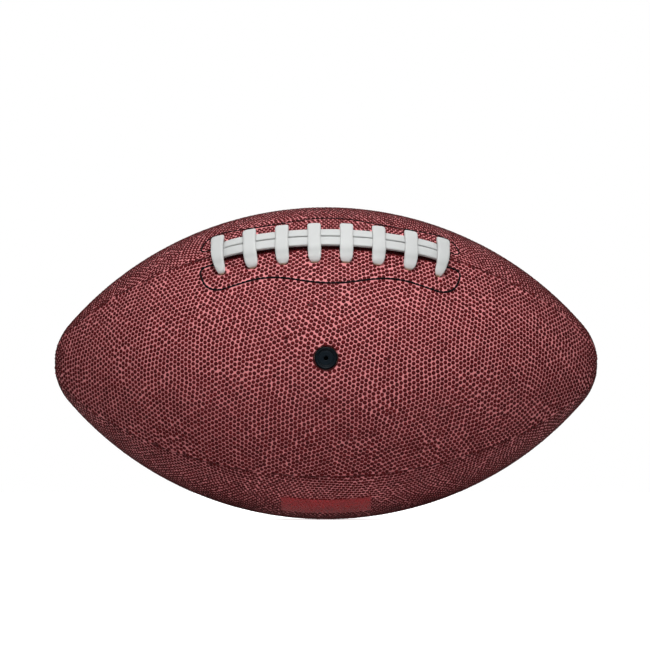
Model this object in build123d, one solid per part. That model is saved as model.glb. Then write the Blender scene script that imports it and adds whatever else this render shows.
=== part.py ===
from build123d import *
import os
from math import atan2, copysign, cos, sin, sqrt

# An american football: four cover panels sewn edge to edge round a lined casing, with a bladder,
# a valve and a lacing. The origin is the middle of the ball and X runs along it. The panel with
# the valve faces -Y, a plain panel faces +Z, and the lacing lies on the seam between the two.
# All sizes are millimetres.

# Casing
LENGTH = 288.0              # tip to tip
WAIST_RADIUS = 82.7         # ball's axis to the middle of a panel
TIP_RADIUS = 31.0           # rounding of the tips, along the middle of a panel
PANEL_AXIS_OFFSET = 12.0    # a panel is spun about an axis this far behind the ball's own
PANEL_THICKNESS = 2.0
LINING_THICKNESS = 0.8
SEAM_DEPTH = 5.5            # how far the turned-in panel edges reach below the surface
SEAM_GAP = 0.2              # between the edges of two panels
LAYER_GAP = 0.2             # between stacked layers

# Seam thread, a lock stitch through the turned-in edges
THREAD_WIDTH = 0.6
STITCH_PITCH = 5.0
STITCH_DEPTH = 3.5          # surface to the top of the thread
SEAM_END_MARGIN = 16.0      # tip of the ball to the last stitch

# Lacing
LACING_SHIFT = 2.2          # middle of the lacing, along X
LACE_COUNT = 8
LACE_PITCH = 16.3
LACE_WIDTH = 6.8
LACE_THICKNESS = 2.2
LACE_ROUNDING = 0.9
LACE_HOLE_REACH = 12.3      # seam to the row of lace holes
LACE_HOLE_CLEARANCE = 0.3
LACE_LIFT = 0.35            # long strands to the crossings over them
SHOULDER_FALL = 0.55        # crown of a crossing to its shoulders
KNEE_RISE = 2.1             # cover to the bend where a crossing turns into its hole
CROSSING_BENDS = (2.5, 4.0, 10.0, 4.0, 2.5)
RUN_THICKNESS = 1.8         # lace pressed flat between two holes, inside
RUN_ROUNDING = 0.8
STRAND_WIDTH = 5.6
STRAND_THICKNESS = 2.0
STRAND_LIFT = 1.6           # cover to the long strands
STRAND_SPACING = 0.3        # between the two long strands
SLIT_MARGIN = 4.0           # last crossing to the end of the slit
TAIL_LENGTH = 9.0           # tucked end of the lace

# Facings behind the lace holes, with the stitch line that holds them, and the tongue
FACING_THICKNESS = 0.9
FACING_EDGE = 3.2           # seam plane to the inner edge of a facing
FACING_MARGIN = 2.5         # stitch line to the outer edge of a facing
OUTLINE_START = 6.0         # seam plane to the ends of the stitch line
OUTLINE_WAIST = 19.3        # seam plane to its narrow places
OUTLINE_LOBE = 22.9         # seam plane to the corners of its end lobes
OUTLINE_CREST = 26.6        # seam plane to its middle corner
OUTLINE_WAIST_X = 33.0      # middle of the lacing to the narrow places
OUTLINE_LOBE_REACH = 6.4    # last crossing to the corners of the end lobes
OUTLINE_END_REACH = 11.1    # last crossing to the end of the stitch line
OUTLINE_BENDS = (3.0, 11.0, 60.0, 60.0, 60.0, 11.0, 3.0)
OUTLINE_THREAD = 0.8
OUTLINE_SUNK = 0.3          # how far the outline thread lies below the cover
OUTLINE_PROUD = 0.25        # how far it stands above the cover
OUTLINE_CLEARANCE = 0.15    # thread to the walls of its groove
TONGUE_THICKNESS = 0.8
TONGUE_HALF_WIDTH = 15.0
TONGUE_OVERRUN = 5.0        # end of the slit to the end of the tongue
TONGUE_DEPTH = 5.6          # a panel's middle line to the tongue's, seen from the side
FLAT_AXIS_OFFSET = 60.0     # spin axis of the flattened bed that the tongue lies on

# Bladder
BLADDER_WALL = 0.8
BLADDER_GAP = 0.3           # lining to bladder, at the middle of a panel
BLADDER_TIP_GAP = 6.0       # tip of the ball to the tip of the bladder
BLADDER_TIP_RADIUS = 27.0

# Valve, in the middle of the front panel
VALVE_RADIUS = 5.7
VALVE_RECESS = 0.4          # cover to the housing's rim
VALVE_DEPTH = 17.0          # rim to the foot of the housing
VALVE_CLEARANCE = 0.2       # housing to the holes that it passes
VALVE_RIM_WIDTH = 1.1
VALVE_DISH = 0.8            # rim to the floor of the housing's face
VALVE_TOE = 1.2             # bevel at the foot of the housing
VALVE_FLANGE_RADIUS = 14.0
VALVE_FLANGE_THICKNESS = 1.2
CORE_RADIUS = 3.0
CORE_HEAD_RADIUS = 3.8
CORE_HEAD_HEIGHT = 1.2
CORE_LENGTH = 12.5
CORE_CLEARANCE = 0.05
CORE_TOE = 0.6              # core to the floor of the housing's bore
CORE_BEVEL = 0.75
AIR_HOLE_RADIUS = 0.8
NEEDLE_RADIUS = 1.15
NEEDLE_DEPTH = 9.0

# Label film on the bottom panel
LABEL_LENGTH = 47.0
LABEL_WIDTH = 17.5
LABEL_PLACE = 34.5          # middle of the bottom panel to the middle of the film
LABEL_THICKNESS = 0.15
LABEL_CORNER = 1.5

# What follows from the sizes above
SPIN = 150.0                # degrees of a spun panel blank, more than a panel needs
EDGE = SEAM_GAP / 2
LINING_TOP = PANEL_THICKNESS + LAYER_GAP
FACING_TOP = LINING_TOP + LINING_THICKNESS + LAYER_GAP
LACE_BED = FACING_TOP + FACING_THICKNESS + LAYER_GAP
RUN_DEPTH = LACE_BED + RUN_THICKNESS / 2
STRAND_FOOT = LACE_BED + RUN_THICKNESS
STRAND_PLACE = (STRAND_SPACING + STRAND_WIDTH) / 2
STRAND_EDGE = STRAND_SPACING / 2 + STRAND_WIDTH
CROSSING_CROWN = STRAND_LIFT + STRAND_THICKNESS + LACE_LIFT + LACE_THICKNESS / 2
LACING_HALF = LACE_PITCH * (LACE_COUNT - 1) / 2
SLIT_HALF = LACING_HALF + SLIT_MARGIN
OUTLINE_START_X = LACING_HALF + (LACE_WIDTH + OUTLINE_THREAD) / 2 + OUTLINE_CLEARANCE
STATIONS = [LACING_SHIFT - LACING_HALF + LACE_PITCH * i for i in range(LACE_COUNT)]
FLAT_DEPTH = TONGUE_DEPTH + TONGUE_THICKNESS + LAYER_GAP
BLADDER_WAIST = WAIST_RADIUS - LINING_TOP - LINING_THICKNESS - BLADDER_GAP
VALVE_RIM = WAIST_RADIUS - VALVE_RECESS
CORE_TOP = VALVE_RIM - VALVE_DISH
RIDGE_SHIFT = PANEL_AXIS_OFFSET / sqrt(2)
NOSE_X = LENGTH / 2 - TIP_RADIUS
SIDE_RADIUS = (NOSE_X**2 + WAIST_RADIUS**2 - TIP_RADIUS**2) / (2 * (WAIST_RADIUS - TIP_RADIUS))

# Turns about X that set a +Z panel, or a seam that points to +Z, in its place
TOP, FRONT, BOTTOM, BACK = Rot(0, 0, 0), Rot(90, 0, 0), Rot(180, 0, 0), Rot(-90, 0, 0)
LACE_SEAM, FRONT_BOTTOM_SEAM = Rot(45, 0, 0), Rot(135, 0, 0)
BACK_BOTTOM_SEAM, TOP_BACK_SEAM = Rot(-135, 0, 0), Rot(-45, 0, 0)
BESIDE_SEAM = {-1: Rot(45, 0, 0), 1: Rot(-45, 0, 0)}
STANDING = (Align.CENTER, Align.CENTER, Align.MIN)


def meridian(length, waist, tip):
    """Tip, side and tip of a pointed oval: three tangent arcs above the X axis."""
    half = length / 2
    nose_x = half - tip
    side_radius = (nose_x**2 + waist**2 - tip**2) / (2 * (waist - tip))
    sunk = side_radius - waist
    join_x = side_radius * nose_x / (side_radius - tip)
    join_z = side_radius * sunk / (side_radius - tip) - sunk
    turn = atan2(join_z, join_x - nose_x) / 2
    mid_x = nose_x + tip * cos(turn)
    mid_z = tip * sin(turn)
    tail = ThreePointArc((-half, 0), (-mid_x, mid_z), (-join_x, join_z))
    side = ThreePointArc((-join_x, join_z), (0, waist), (join_x, join_z))
    nose = ThreePointArc((join_x, join_z), (mid_x, mid_z), (half, 0))
    return [tail, side, nose]


def casing(depth, axis_offset=PANEL_AXIS_OFFSET, spin=SPIN):
    """Solid below the surface of the +Z panel, sunk by depth, on an axis behind the ball's own."""
    half = LENGTH / 2 - depth
    curve = meridian(2 * half, WAIST_RADIUS - depth, TIP_RADIUS - depth)
    base = Polyline((half, 0), (half, -axis_offset), (-half, -axis_offset), (-half, 0))
    axis = Axis((0, 0, -axis_offset), (1, 0, 0))
    face = Plane.XZ * make_face([*curve, base])
    return revolve(face.rotate(axis, -spin / 2), axis, spin)


def wedge(inset):
    """Quarter of space round +Z, with its two seam planes moved in by inset."""
    apex = inset * sqrt(2)
    corners = [(0, apex), (LENGTH, apex + LENGTH), (-LENGTH, apex + LENGTH)]
    return extrude(Plane.YZ * make_face(Polyline(*corners, close=True)), LENGTH, both=True)


def ridge(depth):
    """Solid below both panels beside a seam that points to +Z, sunk by depth."""
    return BESIDE_SEAM[-1] * casing(depth) & BESIDE_SEAM[1] * casing(depth)


def panel():
    """Cover panel that faces +Z: a shell with its long edges turned in along the seams."""
    hollow = casing(PANEL_THICKNESS) & wedge(EDGE + PANEL_THICKNESS)
    return (casing(0) & wedge(EDGE)) - hollow - casing(SEAM_DEPTH)


def lining():
    """Fabric lining behind the +Z panel, between its turned-in edges."""
    layer = casing(LINING_TOP) - casing(LINING_TOP + LINING_THICKNESS)
    return layer & wedge(EDGE + PANEL_THICKNESS + LAYER_GAP)


def seam_thread(start, end):
    """Lock stitch through two turned-in edges, below a seam that points to +Z, from X start to end."""
    rail_y = EDGE + PANEL_THICKNESS + THREAD_WIDTH
    length = end - start
    count = int(length / STITCH_PITCH) + 1
    step = (length - THREAD_WIDTH) / (count - 1)
    middle = Pos((start + end) / 2, 0)
    rails = [middle * Pos(0, side * rail_y) * Rectangle(length, THREAD_WIDTH) for side in (-1, 1)]
    rung = Rectangle(THREAD_WIDTH, 2 * rail_y)
    rungs = [middle * place * rung for place in GridLocations(step, 0, count, 1)]
    ladder = extrude(Sketch() + rails + rungs, LENGTH)
    return (ridge(STITCH_DEPTH) - ridge(STITCH_DEPTH + THREAD_WIDTH)) & ladder


def spin_radius(x):
    """Distance from a panel's spin axis to its surface."""
    return sqrt(SIDE_RADIUS**2 - x**2) - SIDE_RADIUS + WAIST_RADIUS + PANEL_AXIS_OFFSET


def seam_height(x, y=0.0):
    """Height of the cover above the ball's axis, at a place beside a seam that points to +Z."""
    return sqrt(spin_radius(x) ** 2 - (abs(y) + RIDGE_SHIFT) ** 2) - RIDGE_SHIFT


def cover_plane(x, y):
    """Plane on the cover beside a seam that points to +Z: its X axis runs along the ball, Z outwards."""
    lean = sqrt(1 - (x / SIDE_RADIUS) ** 2) / spin_radius(x)
    height = seam_height(x, y)
    outwards = (x / SIDE_RADIUS, lean * (y + copysign(RIDGE_SHIFT, y)), lean * (height + RIDGE_SHIFT))
    return Plane((x, y, height), x_dir=(1, 0, 0), z_dir=outwards)


def station_plane(x):
    """Plane square to the lace seam: its X axis runs across the seam, its Y axis outwards."""
    radius = spin_radius(x)
    rise = -x * radius / sqrt((SIDE_RADIUS**2 - x**2) * (radius**2 - RIDGE_SHIFT**2))
    return Plane((x, 0, seam_height(x)), x_dir=(0, 1, 0), z_dir=(1, 0, rise))


def hole_foot(x):
    """Depth of a crossing's feet below the seam, in the lace that runs from hole to hole."""
    return seam_height(x) - seam_height(x, LACE_HOLE_REACH) + RUN_DEPTH


def lace_bar(plane, start, end):
    """Straight stretch of pressed lace between two places on a station plane."""
    path = plane * Line(start, end)
    across = Plane(path @ 0, x_dir=plane.z_dir, z_dir=path % 0)
    return sweep(across * RectangleRounded(LACE_WIDTH, RUN_THICKNESS, RUN_ROUNDING), path=path)


def crossing(x):
    """One crossing of the lace: up out of a hole, over the long strands and down into the other hole."""
    plane = station_plane(x)
    foot = -hole_foot(x)
    knee = foot + RUN_DEPTH + KNEE_RISE
    reach = LACE_HOLE_REACH
    shoulder = STRAND_EDGE + LACE_ROUNDING
    level = CROSSING_CROWN - SHOULDER_FALL
    half = [(-reach, foot), (-reach, knee), (-shoulder, level)]
    other = [(shoulder, level), (reach, knee), (reach, foot)]
    path = plane * FilletPolyline(*half, (0, CROSSING_CROWN), *other, radius=CROSSING_BENDS)
    across = Plane(path @ 0, x_dir=plane.z_dir, z_dir=path % 0)
    return sweep(across * RectangleRounded(LACE_WIDTH, LACE_THICKNESS, LACE_ROUNDING), path=path)


def inner_runs(side):
    """Lace pressed flat against a facing, from hole to hole, with its tucked end on the +Y side."""
    spans = list(zip(STATIONS, STATIONS[1:]))[0 if side < 0 else 1 :: 2]
    if side > 0:
        spans.append((STATIONS[0], STATIONS[0] + TAIL_LENGTH - LACE_WIDTH))
    plan = Sketch()
    for start, end in spans:
        flat = RectangleRounded(end - start + LACE_WIDTH, LACE_WIDTH, LACE_ROUNDING)
        plan += Pos((start + end) / 2, side * LACE_HOLE_REACH) * flat
    layer = casing(LACE_BED) - casing(LACE_BED + RUN_THICKNESS)
    return BESIDE_SEAM[side] * layer & extrude(plan, LENGTH)


def strand(side):
    """Long strand beside the seam, under the crossings."""
    ends = (STATIONS[0], LACING_SHIFT, STATIONS[-1])
    places = [cover_plane(x, side * STRAND_PLACE).offset(STRAND_LIFT + STRAND_THICKNESS / 2) for x in ends]
    path = ThreePointArc(*[place.origin for place in places])
    across = Plane(path @ 0, x_dir=places[0].y_dir, z_dir=path % 0)
    return sweep(across * RectangleRounded(STRAND_WIDTH, STRAND_THICKNESS, LACE_ROUNDING), path=path)


def strand_leg(x, side):
    """End of a long strand, down through the end of the slit."""
    height = STRAND_FOOT + STRAND_LIFT + STRAND_THICKNESS / 2
    middle = Pos(side * STRAND_PLACE, height / 2 - STRAND_FOOT)
    leg = station_plane(x) * middle * Rectangle(STRAND_WIDTH, height)
    return extrude(leg, STRAND_THICKNESS / 2, both=True)


def lace():
    """The whole lace: crossings joined by inner runs, and two long strands joined at their ends."""
    first, last = STATIONS[0], STATIONS[-1]
    pieces = [crossing(x) for x in STATIONS]
    for side in (-1, 1):
        pieces += [inner_runs(side), strand(side)]
        pieces += [strand_leg(x, side) for x in (first, last)]
    turn = [(side * STRAND_EDGE, -STRAND_FOOT) for side in (-1, 1)]
    pieces.append(lace_bar(station_plane(first), *turn))
    link = [(STRAND_SPACING / 2, -STRAND_FOOT), (LACE_HOLE_REACH, -hole_foot(last))]
    pieces.append(lace_bar(station_plane(last), *link))
    return Part() + pieces


def lace_holes():
    """Cutters for the lace: a slot at each end of each crossing, and one at each end of the slit."""
    slot = SlotOverall(LACE_WIDTH + 2 * LACE_HOLE_CLEARANCE, LACE_THICKNESS + 2 * LACE_HOLE_CLEARANCE)
    end_slot = Rectangle(STRAND_THICKNESS + 2 * LACE_HOLE_CLEARANCE, 2 * (STRAND_EDGE + LACE_HOLE_CLEARANCE))
    cuts = []
    for x in STATIONS:
        plane = station_plane(x)
        square = Plane(plane.origin, x_dir=plane.z_dir, z_dir=plane.y_dir)
        shapes = [Pos(0, side * LACE_HOLE_REACH) * slot for side in (-1, 1)]
        if x in (STATIONS[0], STATIONS[-1]):
            shapes.append(end_slot)
        cuts += [extrude(square * shape, 2 * STRAND_FOOT, both=True) for shape in shapes]
    return cuts


def slit_relief():
    """Cutter that takes the turned-in edges away along the slit."""
    width = 2 * (EDGE + PANEL_THICKNESS + LAYER_GAP)
    bar = Pos(LACING_SHIFT, 0, WAIST_RADIUS) * Box(2 * SLIT_HALF, width, WAIST_RADIUS)
    return ridge(PANEL_THICKNESS) & bar


def outline_path():
    """Stitch line beside the lacing, seen square to the seam, on the +Y side."""
    end = (LACING_HALF + OUTLINE_END_REACH, OUTLINE_START)
    lobe = (LACING_HALF + OUTLINE_LOBE_REACH, OUTLINE_LOBE)
    waist = (OUTLINE_WAIST_X, OUTLINE_WAIST)
    half = [(OUTLINE_START_X, OUTLINE_START), end, lobe, waist]
    other = [(-x, y) for x, y in reversed(half)]
    return FilletPolyline(*half, (0, OUTLINE_CREST), *other, radius=OUTLINE_BENDS)


def beside_seam(plan, side):
    """Prism along the seam's direction of a plan drawn on the +Y side, moved with the lacing."""
    return extrude(Pos(LACING_SHIFT, 0) * (plan if side > 0 else mirror(plan, Plane.XZ)), LENGTH)


def facing(side):
    """Reinforcement behind the lace holes on one side of the seam."""
    inner = [(-OUTLINE_START_X, OUTLINE_START), (-OUTLINE_START_X, FACING_EDGE)]
    inner += [(OUTLINE_START_X, FACING_EDGE), (OUTLINE_START_X, OUTLINE_START)]
    stitched = make_face([outline_path(), Polyline(*inner)])
    keep = Pos(0, FACING_EDGE) * Rectangle(LENGTH, WAIST_RADIUS, align=(Align.CENTER, Align.MIN))
    plan = offset(stitched, FACING_MARGIN) & keep
    layer = BESIDE_SEAM[side] * (casing(FACING_TOP) - casing(FACING_TOP + FACING_THICKNESS))
    return (layer & beside_seam(plan, side)) - lace_holes()


def outline_band(half_width, side):
    """Prism of a band along the stitch line."""
    return beside_seam(make_face(offset(outline_path(), half_width, side=Side.BOTH)), side)


def outline_thread(side):
    """Stitch line that holds a facing, lying in its groove."""
    layer = casing(-OUTLINE_PROUD) - casing(OUTLINE_SUNK)
    return BESIDE_SEAM[side] * layer & outline_band(OUTLINE_THREAD / 2, side)


def outline_groove(side):
    """Cutter for the groove under the stitch line."""
    layer = casing(-OUTLINE_PROUD) - casing(OUTLINE_SUNK + OUTLINE_CLEARANCE)
    return BESIDE_SEAM[side] * layer & outline_band(OUTLINE_THREAD / 2 + OUTLINE_CLEARANCE, side)


def tongue():
    """Strip under the slit, between the lace and the bladder."""
    layer = casing(TONGUE_DEPTH, FLAT_AXIS_OFFSET) - casing(TONGUE_DEPTH + TONGUE_THICKNESS, FLAT_AXIS_OFFSET)
    bar = Box(2 * (SLIT_HALF + TONGUE_OVERRUN), 2 * TONGUE_HALF_WIDTH, WAIST_RADIUS)
    return layer & Pos(LACING_SHIFT, 0, WAIST_RADIUS) * bar


def bladder_solid(depth):
    """Bladder's outside sunk by depth: a spun oval, flattened under the lacing."""
    length = LENGTH - 2 * (BLADDER_TIP_GAP + depth)
    curve = meridian(length, BLADDER_WAIST - depth, BLADDER_TIP_RADIUS - depth)
    oval = make_face([*curve, Line((length / 2, 0), (-length / 2, 0))])
    spun = revolve(Plane.XZ * oval, Axis.X, 360)
    return spun & LACE_SEAM * casing(FLAT_DEPTH + depth, FLAT_AXIS_OFFSET, 360)


def bladder():
    """Rubber bladder with the hole that the valve housing is bonded into."""
    return bladder_solid(0) - bladder_solid(BLADDER_WALL) - FRONT * valve_hole()


def valve_hole():
    """Cutter for the valve, through whatever lies behind the middle of the +Z panel."""
    hole = Cylinder(VALVE_RADIUS + VALVE_CLEARANCE, WAIST_RADIUS, align=STANDING)
    return Pos(0, 0, VALVE_RIM - VALVE_DEPTH) * hole


def valve_housing():
    """Rubber boot in the middle of the +Z panel, with a flange inside the bladder and a bore for the core."""
    foot = VALVE_RIM - VALVE_DEPTH
    rim_side = VALVE_RIM - VALVE_RIM_WIDTH / 2
    rim_middle = VALVE_RADIUS - VALVE_RIM_WIDTH / 2
    rim_inner = VALVE_RADIUS - VALVE_RIM_WIDTH
    rim = ThreePointArc((VALVE_RADIUS, rim_side), (rim_middle, VALVE_RIM), (rim_inner, rim_side))
    face = [(rim_inner, rim_side), (rim_inner, CORE_TOP), (0, CORE_TOP), (0, foot)]
    toe = [(VALVE_RADIUS - VALVE_TOE, foot), (VALVE_RADIUS, foot + VALVE_TOE), (VALVE_RADIUS, rim_side)]
    stem = revolve(Plane.XZ * make_face([rim, Polyline(*face, *toe)]), Axis.Z, 360)
    under = BLADDER_WALL + LAYER_GAP
    layer = FRONT.inverse() * (bladder_solid(under) - bladder_solid(under + VALVE_FLANGE_THICKNESS))
    disc = Cylinder(VALVE_FLANGE_RADIUS, WAIST_RADIUS, align=STANDING)
    return stem + (layer & disc) - core_bore(foot)


def core_bore(foot):
    """Cutter for the stepped bore that holds the core, with an air hole through the housing's foot."""
    head = CORE_HEAD_RADIUS + CORE_CLEARANCE
    seat = CORE_TOP - CORE_HEAD_HEIGHT - CORE_CLEARANCE
    bore = CORE_RADIUS + CORE_CLEARANCE
    floor = CORE_TOP - CORE_LENGTH - CORE_TOE
    steps = [(0, CORE_TOP), (head, CORE_TOP), (head, seat), (bore, seat), (bore, floor)]
    air = [(AIR_HOLE_RADIUS, floor), (AIR_HOLE_RADIUS, foot), (0, foot)]
    return revolve(Plane.XZ * make_face(Polyline(*steps, *air, close=True)), Axis.Z, 360)


def valve_core():
    """Plug in the valve housing, with the hole for the inflating needle."""
    foot = CORE_TOP - CORE_LENGTH
    neck = CORE_TOP - CORE_HEAD_HEIGHT
    head = [(NEEDLE_RADIUS, CORE_TOP), (CORE_HEAD_RADIUS, CORE_TOP), (CORE_HEAD_RADIUS, neck)]
    toe = [(CORE_RADIUS, neck), (CORE_RADIUS, foot + CORE_BEVEL), (CORE_RADIUS - CORE_BEVEL, foot), (0, foot)]
    needle = [(0, CORE_TOP - NEEDLE_DEPTH), (NEEDLE_RADIUS, CORE_TOP - NEEDLE_DEPTH)]
    return revolve(Plane.XZ * make_face(Polyline(*head, *toe, *needle, close=True)), Axis.Z, 360)


def label_film():
    """Thin film on the +Z panel, towards its +Y seam."""
    layer = casing(-LAYER_GAP / 2 - LABEL_THICKNESS) - casing(-LAYER_GAP / 2)
    film = Pos(0, LABEL_PLACE) * RectangleRounded(LABEL_LENGTH, LABEL_WIDTH, LABEL_CORNER)
    return layer & extrude(film, LENGTH)


def football():
    """Every piece of the ball by name, in its place."""
    plain_panel = panel()
    plain_lining = lining()
    lace_cuts = [LACE_SEAM * cut for cut in lace_holes()]
    slit_cuts = [*lace_cuts, LACE_SEAM * slit_relief()]
    grooves = {side: LACE_SEAM * outline_groove(side) for side in (-1, 1)}
    valve_cut = FRONT * valve_hole()
    seam_end = LENGTH / 2 - SEAM_END_MARGIN
    slit_end = SLIT_HALF + THREAD_WIDTH
    long_thread = seam_thread(-seam_end, seam_end)
    return {
        "panel_front": FRONT * plain_panel - slit_cuts - grooves[-1] - valve_cut,
        "panel_top": TOP * plain_panel - slit_cuts - grooves[1],
        "panel_back": BACK * plain_panel,
        "panel_bottom": BOTTOM * plain_panel,
        "lining_front": FRONT * plain_lining - lace_cuts - valve_cut,
        "lining_top": TOP * plain_lining - lace_cuts,
        "lining_back": BACK * plain_lining,
        "lining_bottom": BOTTOM * plain_lining,
        "seam_thread_lace_left": LACE_SEAM * seam_thread(-seam_end, LACING_SHIFT - slit_end),
        "seam_thread_lace_right": LACE_SEAM * seam_thread(LACING_SHIFT + slit_end, seam_end),
        "seam_thread_front_bottom": FRONT_BOTTOM_SEAM * long_thread,
        "seam_thread_back_bottom": BACK_BOTTOM_SEAM * long_thread,
        "seam_thread_top_back": TOP_BACK_SEAM * long_thread,
        "lace": LACE_SEAM * lace(),
        "lace_facing_front": LACE_SEAM * facing(-1),
        "lace_facing_top": LACE_SEAM * facing(1),
        "facing_stitch_front": LACE_SEAM * outline_thread(-1),
        "facing_stitch_top": LACE_SEAM * outline_thread(1),
        "lace_tongue": LACE_SEAM * tongue(),
        "bladder": bladder(),
        "valve_housing": FRONT * valve_housing(),
        "valve_core": FRONT * valve_core(),
        "label_film": BOTTOM * label_film(),
    }


os.makedirs("parts", exist_ok=True)
for name, shape in football().items():
    export_step(shape, f"parts/{name}.step")
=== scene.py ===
import math

import bmesh
import bpy
import numpy as np
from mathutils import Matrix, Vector


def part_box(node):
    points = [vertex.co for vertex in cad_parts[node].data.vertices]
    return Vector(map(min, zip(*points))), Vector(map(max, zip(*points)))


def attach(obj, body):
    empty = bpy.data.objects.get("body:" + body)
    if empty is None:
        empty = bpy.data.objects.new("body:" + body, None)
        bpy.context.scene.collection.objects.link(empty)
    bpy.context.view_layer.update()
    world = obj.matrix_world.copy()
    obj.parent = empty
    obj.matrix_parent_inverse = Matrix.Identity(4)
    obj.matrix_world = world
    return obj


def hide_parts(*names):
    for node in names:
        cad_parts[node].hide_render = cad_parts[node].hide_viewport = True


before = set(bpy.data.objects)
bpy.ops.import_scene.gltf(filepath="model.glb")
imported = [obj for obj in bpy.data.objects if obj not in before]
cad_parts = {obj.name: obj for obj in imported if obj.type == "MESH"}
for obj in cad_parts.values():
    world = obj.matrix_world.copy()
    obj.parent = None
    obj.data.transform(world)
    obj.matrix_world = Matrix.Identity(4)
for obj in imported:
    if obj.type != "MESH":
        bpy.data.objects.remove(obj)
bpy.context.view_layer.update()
MM = 0.001

# Casing, as in the frame: each panel is a surface spun about an axis behind the ball's own
TOP_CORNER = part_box("panel_top")[1]
HALF_LENGTH = TOP_CORNER.x
WAIST_RADIUS = TOP_CORNER.z
TIP_RADIUS = 31 * MM
AXIS_OFFSET = 12 * MM
PANEL_THICKNESS = 2 * MM
SEAM_DEPTH = 5.5 * MM
SEAM_GAP = 0.2 * MM
NOSE_X = HALF_LENGTH - TIP_RADIUS
SIDE_RADIUS = (NOSE_X**2 + WAIST_RADIUS**2 - TIP_RADIUS**2) / (2 * (WAIST_RADIUS - TIP_RADIUS))
SUNK = SIDE_RADIUS - WAIST_RADIUS
JOIN_X = SIDE_RADIUS * NOSE_X / (SIDE_RADIUS - TIP_RADIUS)
SIDE_TURN = math.atan2(NOSE_X, SUNK)
SIDE_RUN = SIDE_RADIUS * SIDE_TURN
HALF_RUN = SIDE_RUN + TIP_RADIUS * (math.pi / 2 - SIDE_TURN)
RIDGE_SHIFT = AXIS_OFFSET / math.sqrt(2)

# Degrees about X that set a panel, or a seam, that points to +Z in its place
PANEL_TURNS = {"front": 90, "top": 0, "back": -90, "bottom": 180}
LACE_SEAM_TURN = 45
SEAM_TURNS = {"front_bottom": 135, "back_bottom": -135, "top_back": -45}

# Panel meshes
STATIONS_ALONG = 131
STEPS_ACROSS = 15
INNER_STEPS = 15
TIP_STOP = 0.25 * MM            # tip of the ball to the end of a panel
EDGE_ROLL = 0.6 * MM            # rounding of a panel's edge into the seam
EDGE_SHADE = 1.1 * MM           # painted shade: dark band along a panel's edge, in the seam crease
LACE_SHADE = 5.8 * MM           # painted shadow of the strands: dark band beside the slit
LACE_SHADE_FADE = 0.8 * MM
SEAM_SIDES = {"front": -1, "top": 1}    # side of the lace seam, in Y, that a panel lies on
TIP_CROWDING = 0.25             # how much closer the stations lie towards the tips
STRIP_STEPS = 81
EDGE_ROWS = np.array([8.0, 7.2, 6.4, 4.0, 1.8, 1.1, 0.7, 0.4, 0.18, 0.05, 0.0]) * MM
BISECTIONS = 44

# Pebbles
PEBBLE_PITCH = 2.44 * MM
PEBBLE_RADIUS = 1.28 * MM
PEBBLE_HEIGHT = 0.36 * MM
PEBBLE_SIDES = 7
PEBBLE_WANDER = 4.0 * MM
WANDER_STEP = 5 * MM
PEBBLE_JITTER = 0.42 * MM
PEBBLE_APART = 2.38 * MM        # least distance that the pebbles are pushed to
PEBBLE_ROUNDS = 28
PEBBLE_TURNS = {"front": 24, "top": 4, "back": 21, "bottom": -5}
PEBBLE_MARGIN = 0.55 * MM       # middle of a pebble to a hole or a stitch line
SHEET_LENGTH = 420 * MM
SHEET_WIDTH = 300 * MM

# Lacing
LACING_SHIFT = 2.2 * MM
LACE_COUNT = 8
LACE_PITCH = 16.3 * MM
LACE_WIDTH = 6.8 * MM
LACE_THICKNESS = 2.2 * MM
HOLE_REACH = 12.3 * MM
HOLE_SIZE = (4.8 * MM, 2.7 * MM)
HOLE_CUT = (-7 * MM, 3 * MM)    # from under the leather to above it
CROSSING_DROP = 1.95 * MM       # cover at the holes, below the seam
CROSSING_YAW = math.radians(1.6)
STRAND_WIDTH = 5.6 * MM
STRAND_THICKNESS = 2.0 * MM
STRAND_PLACE = 2.95 * MM
STRAND_SHIFT = 1.0 * MM         # pair of strands, towards the top panel
STRAND_RISE = 2.8 * MM
CROWN = 5.05 * MM
LEAN_IN = 0.7 * MM              # front of an end crossing, towards the middle of the lacing
LACING_HALF = LACE_PITCH * (LACE_COUNT - 1) / 2
STATIONS = [LACING_SHIFT - LACING_HALF + LACE_PITCH * i for i in range(LACE_COUNT)]

# Stitch line round the lacing, seen square to the seam
OUTLINE_START = (61.0 * MM, 6.0 * MM)
OUTLINE_END = (68.15 * MM, 6.0 * MM)
OUTLINE_LOBE = (63.45 * MM, 22.9 * MM)
OUTLINE_WAIST = (33.0 * MM, 19.3 * MM)
OUTLINE_CREST = (0.0, 26.6 * MM)
OUTLINE_BENDS = [3 * MM, 11 * MM, 60 * MM, 60 * MM, 60 * MM, 11 * MM, 3 * MM]
OUTLINE_PITCH = 2.6 * MM
OUTLINE_THREADS = {"front": 1.3 * MM, "top": 0.95 * MM}
OUTLINE_RISE = 0.2 * MM
SLIT_MARGIN = 4 * MM            # last station to the first seam stitch
SEAM_END_MARGIN = 16 * MM       # last seam stitch to the tip
SEAM_STITCH_LENGTH = 2.6 * MM
SEAM_STITCH_PITCH = 5 * MM
SEAM_THREAD = 0.7 * MM
SEAM_STITCH_DEPTH = 0.95 * MM

# Valve
VALVE_RADIUS = 5.7 * MM
VALVE_GAP = 0.36 * MM           # rubber to the edge of the hole in the leather
VALVE_SHADE = (VALVE_RADIUS + 2.0 * MM, VALVE_RADIUS + 0.6 * MM)    # painted shade round the valve: where the dark ring ends and is full
BARE_RINGS = np.linspace(0.5 * MM, VALVE_RADIUS + 0.5 * MM, 7)      # circles on which no pebble stands
VALVE_RIM = 82.3 * MM
VALVE_FOOT = 65.3 * MM
CORE_TOP = 81.5 * MM
CORE_RADIUS = 3.0 * MM
CORE_HEAD_RADIUS = 3.8 * MM
CORE_LENGTH = 12.5 * MM
NEEDLE_RADIUS = 1.15 * MM
NEEDLE_DEPTH = 9 * MM

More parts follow.
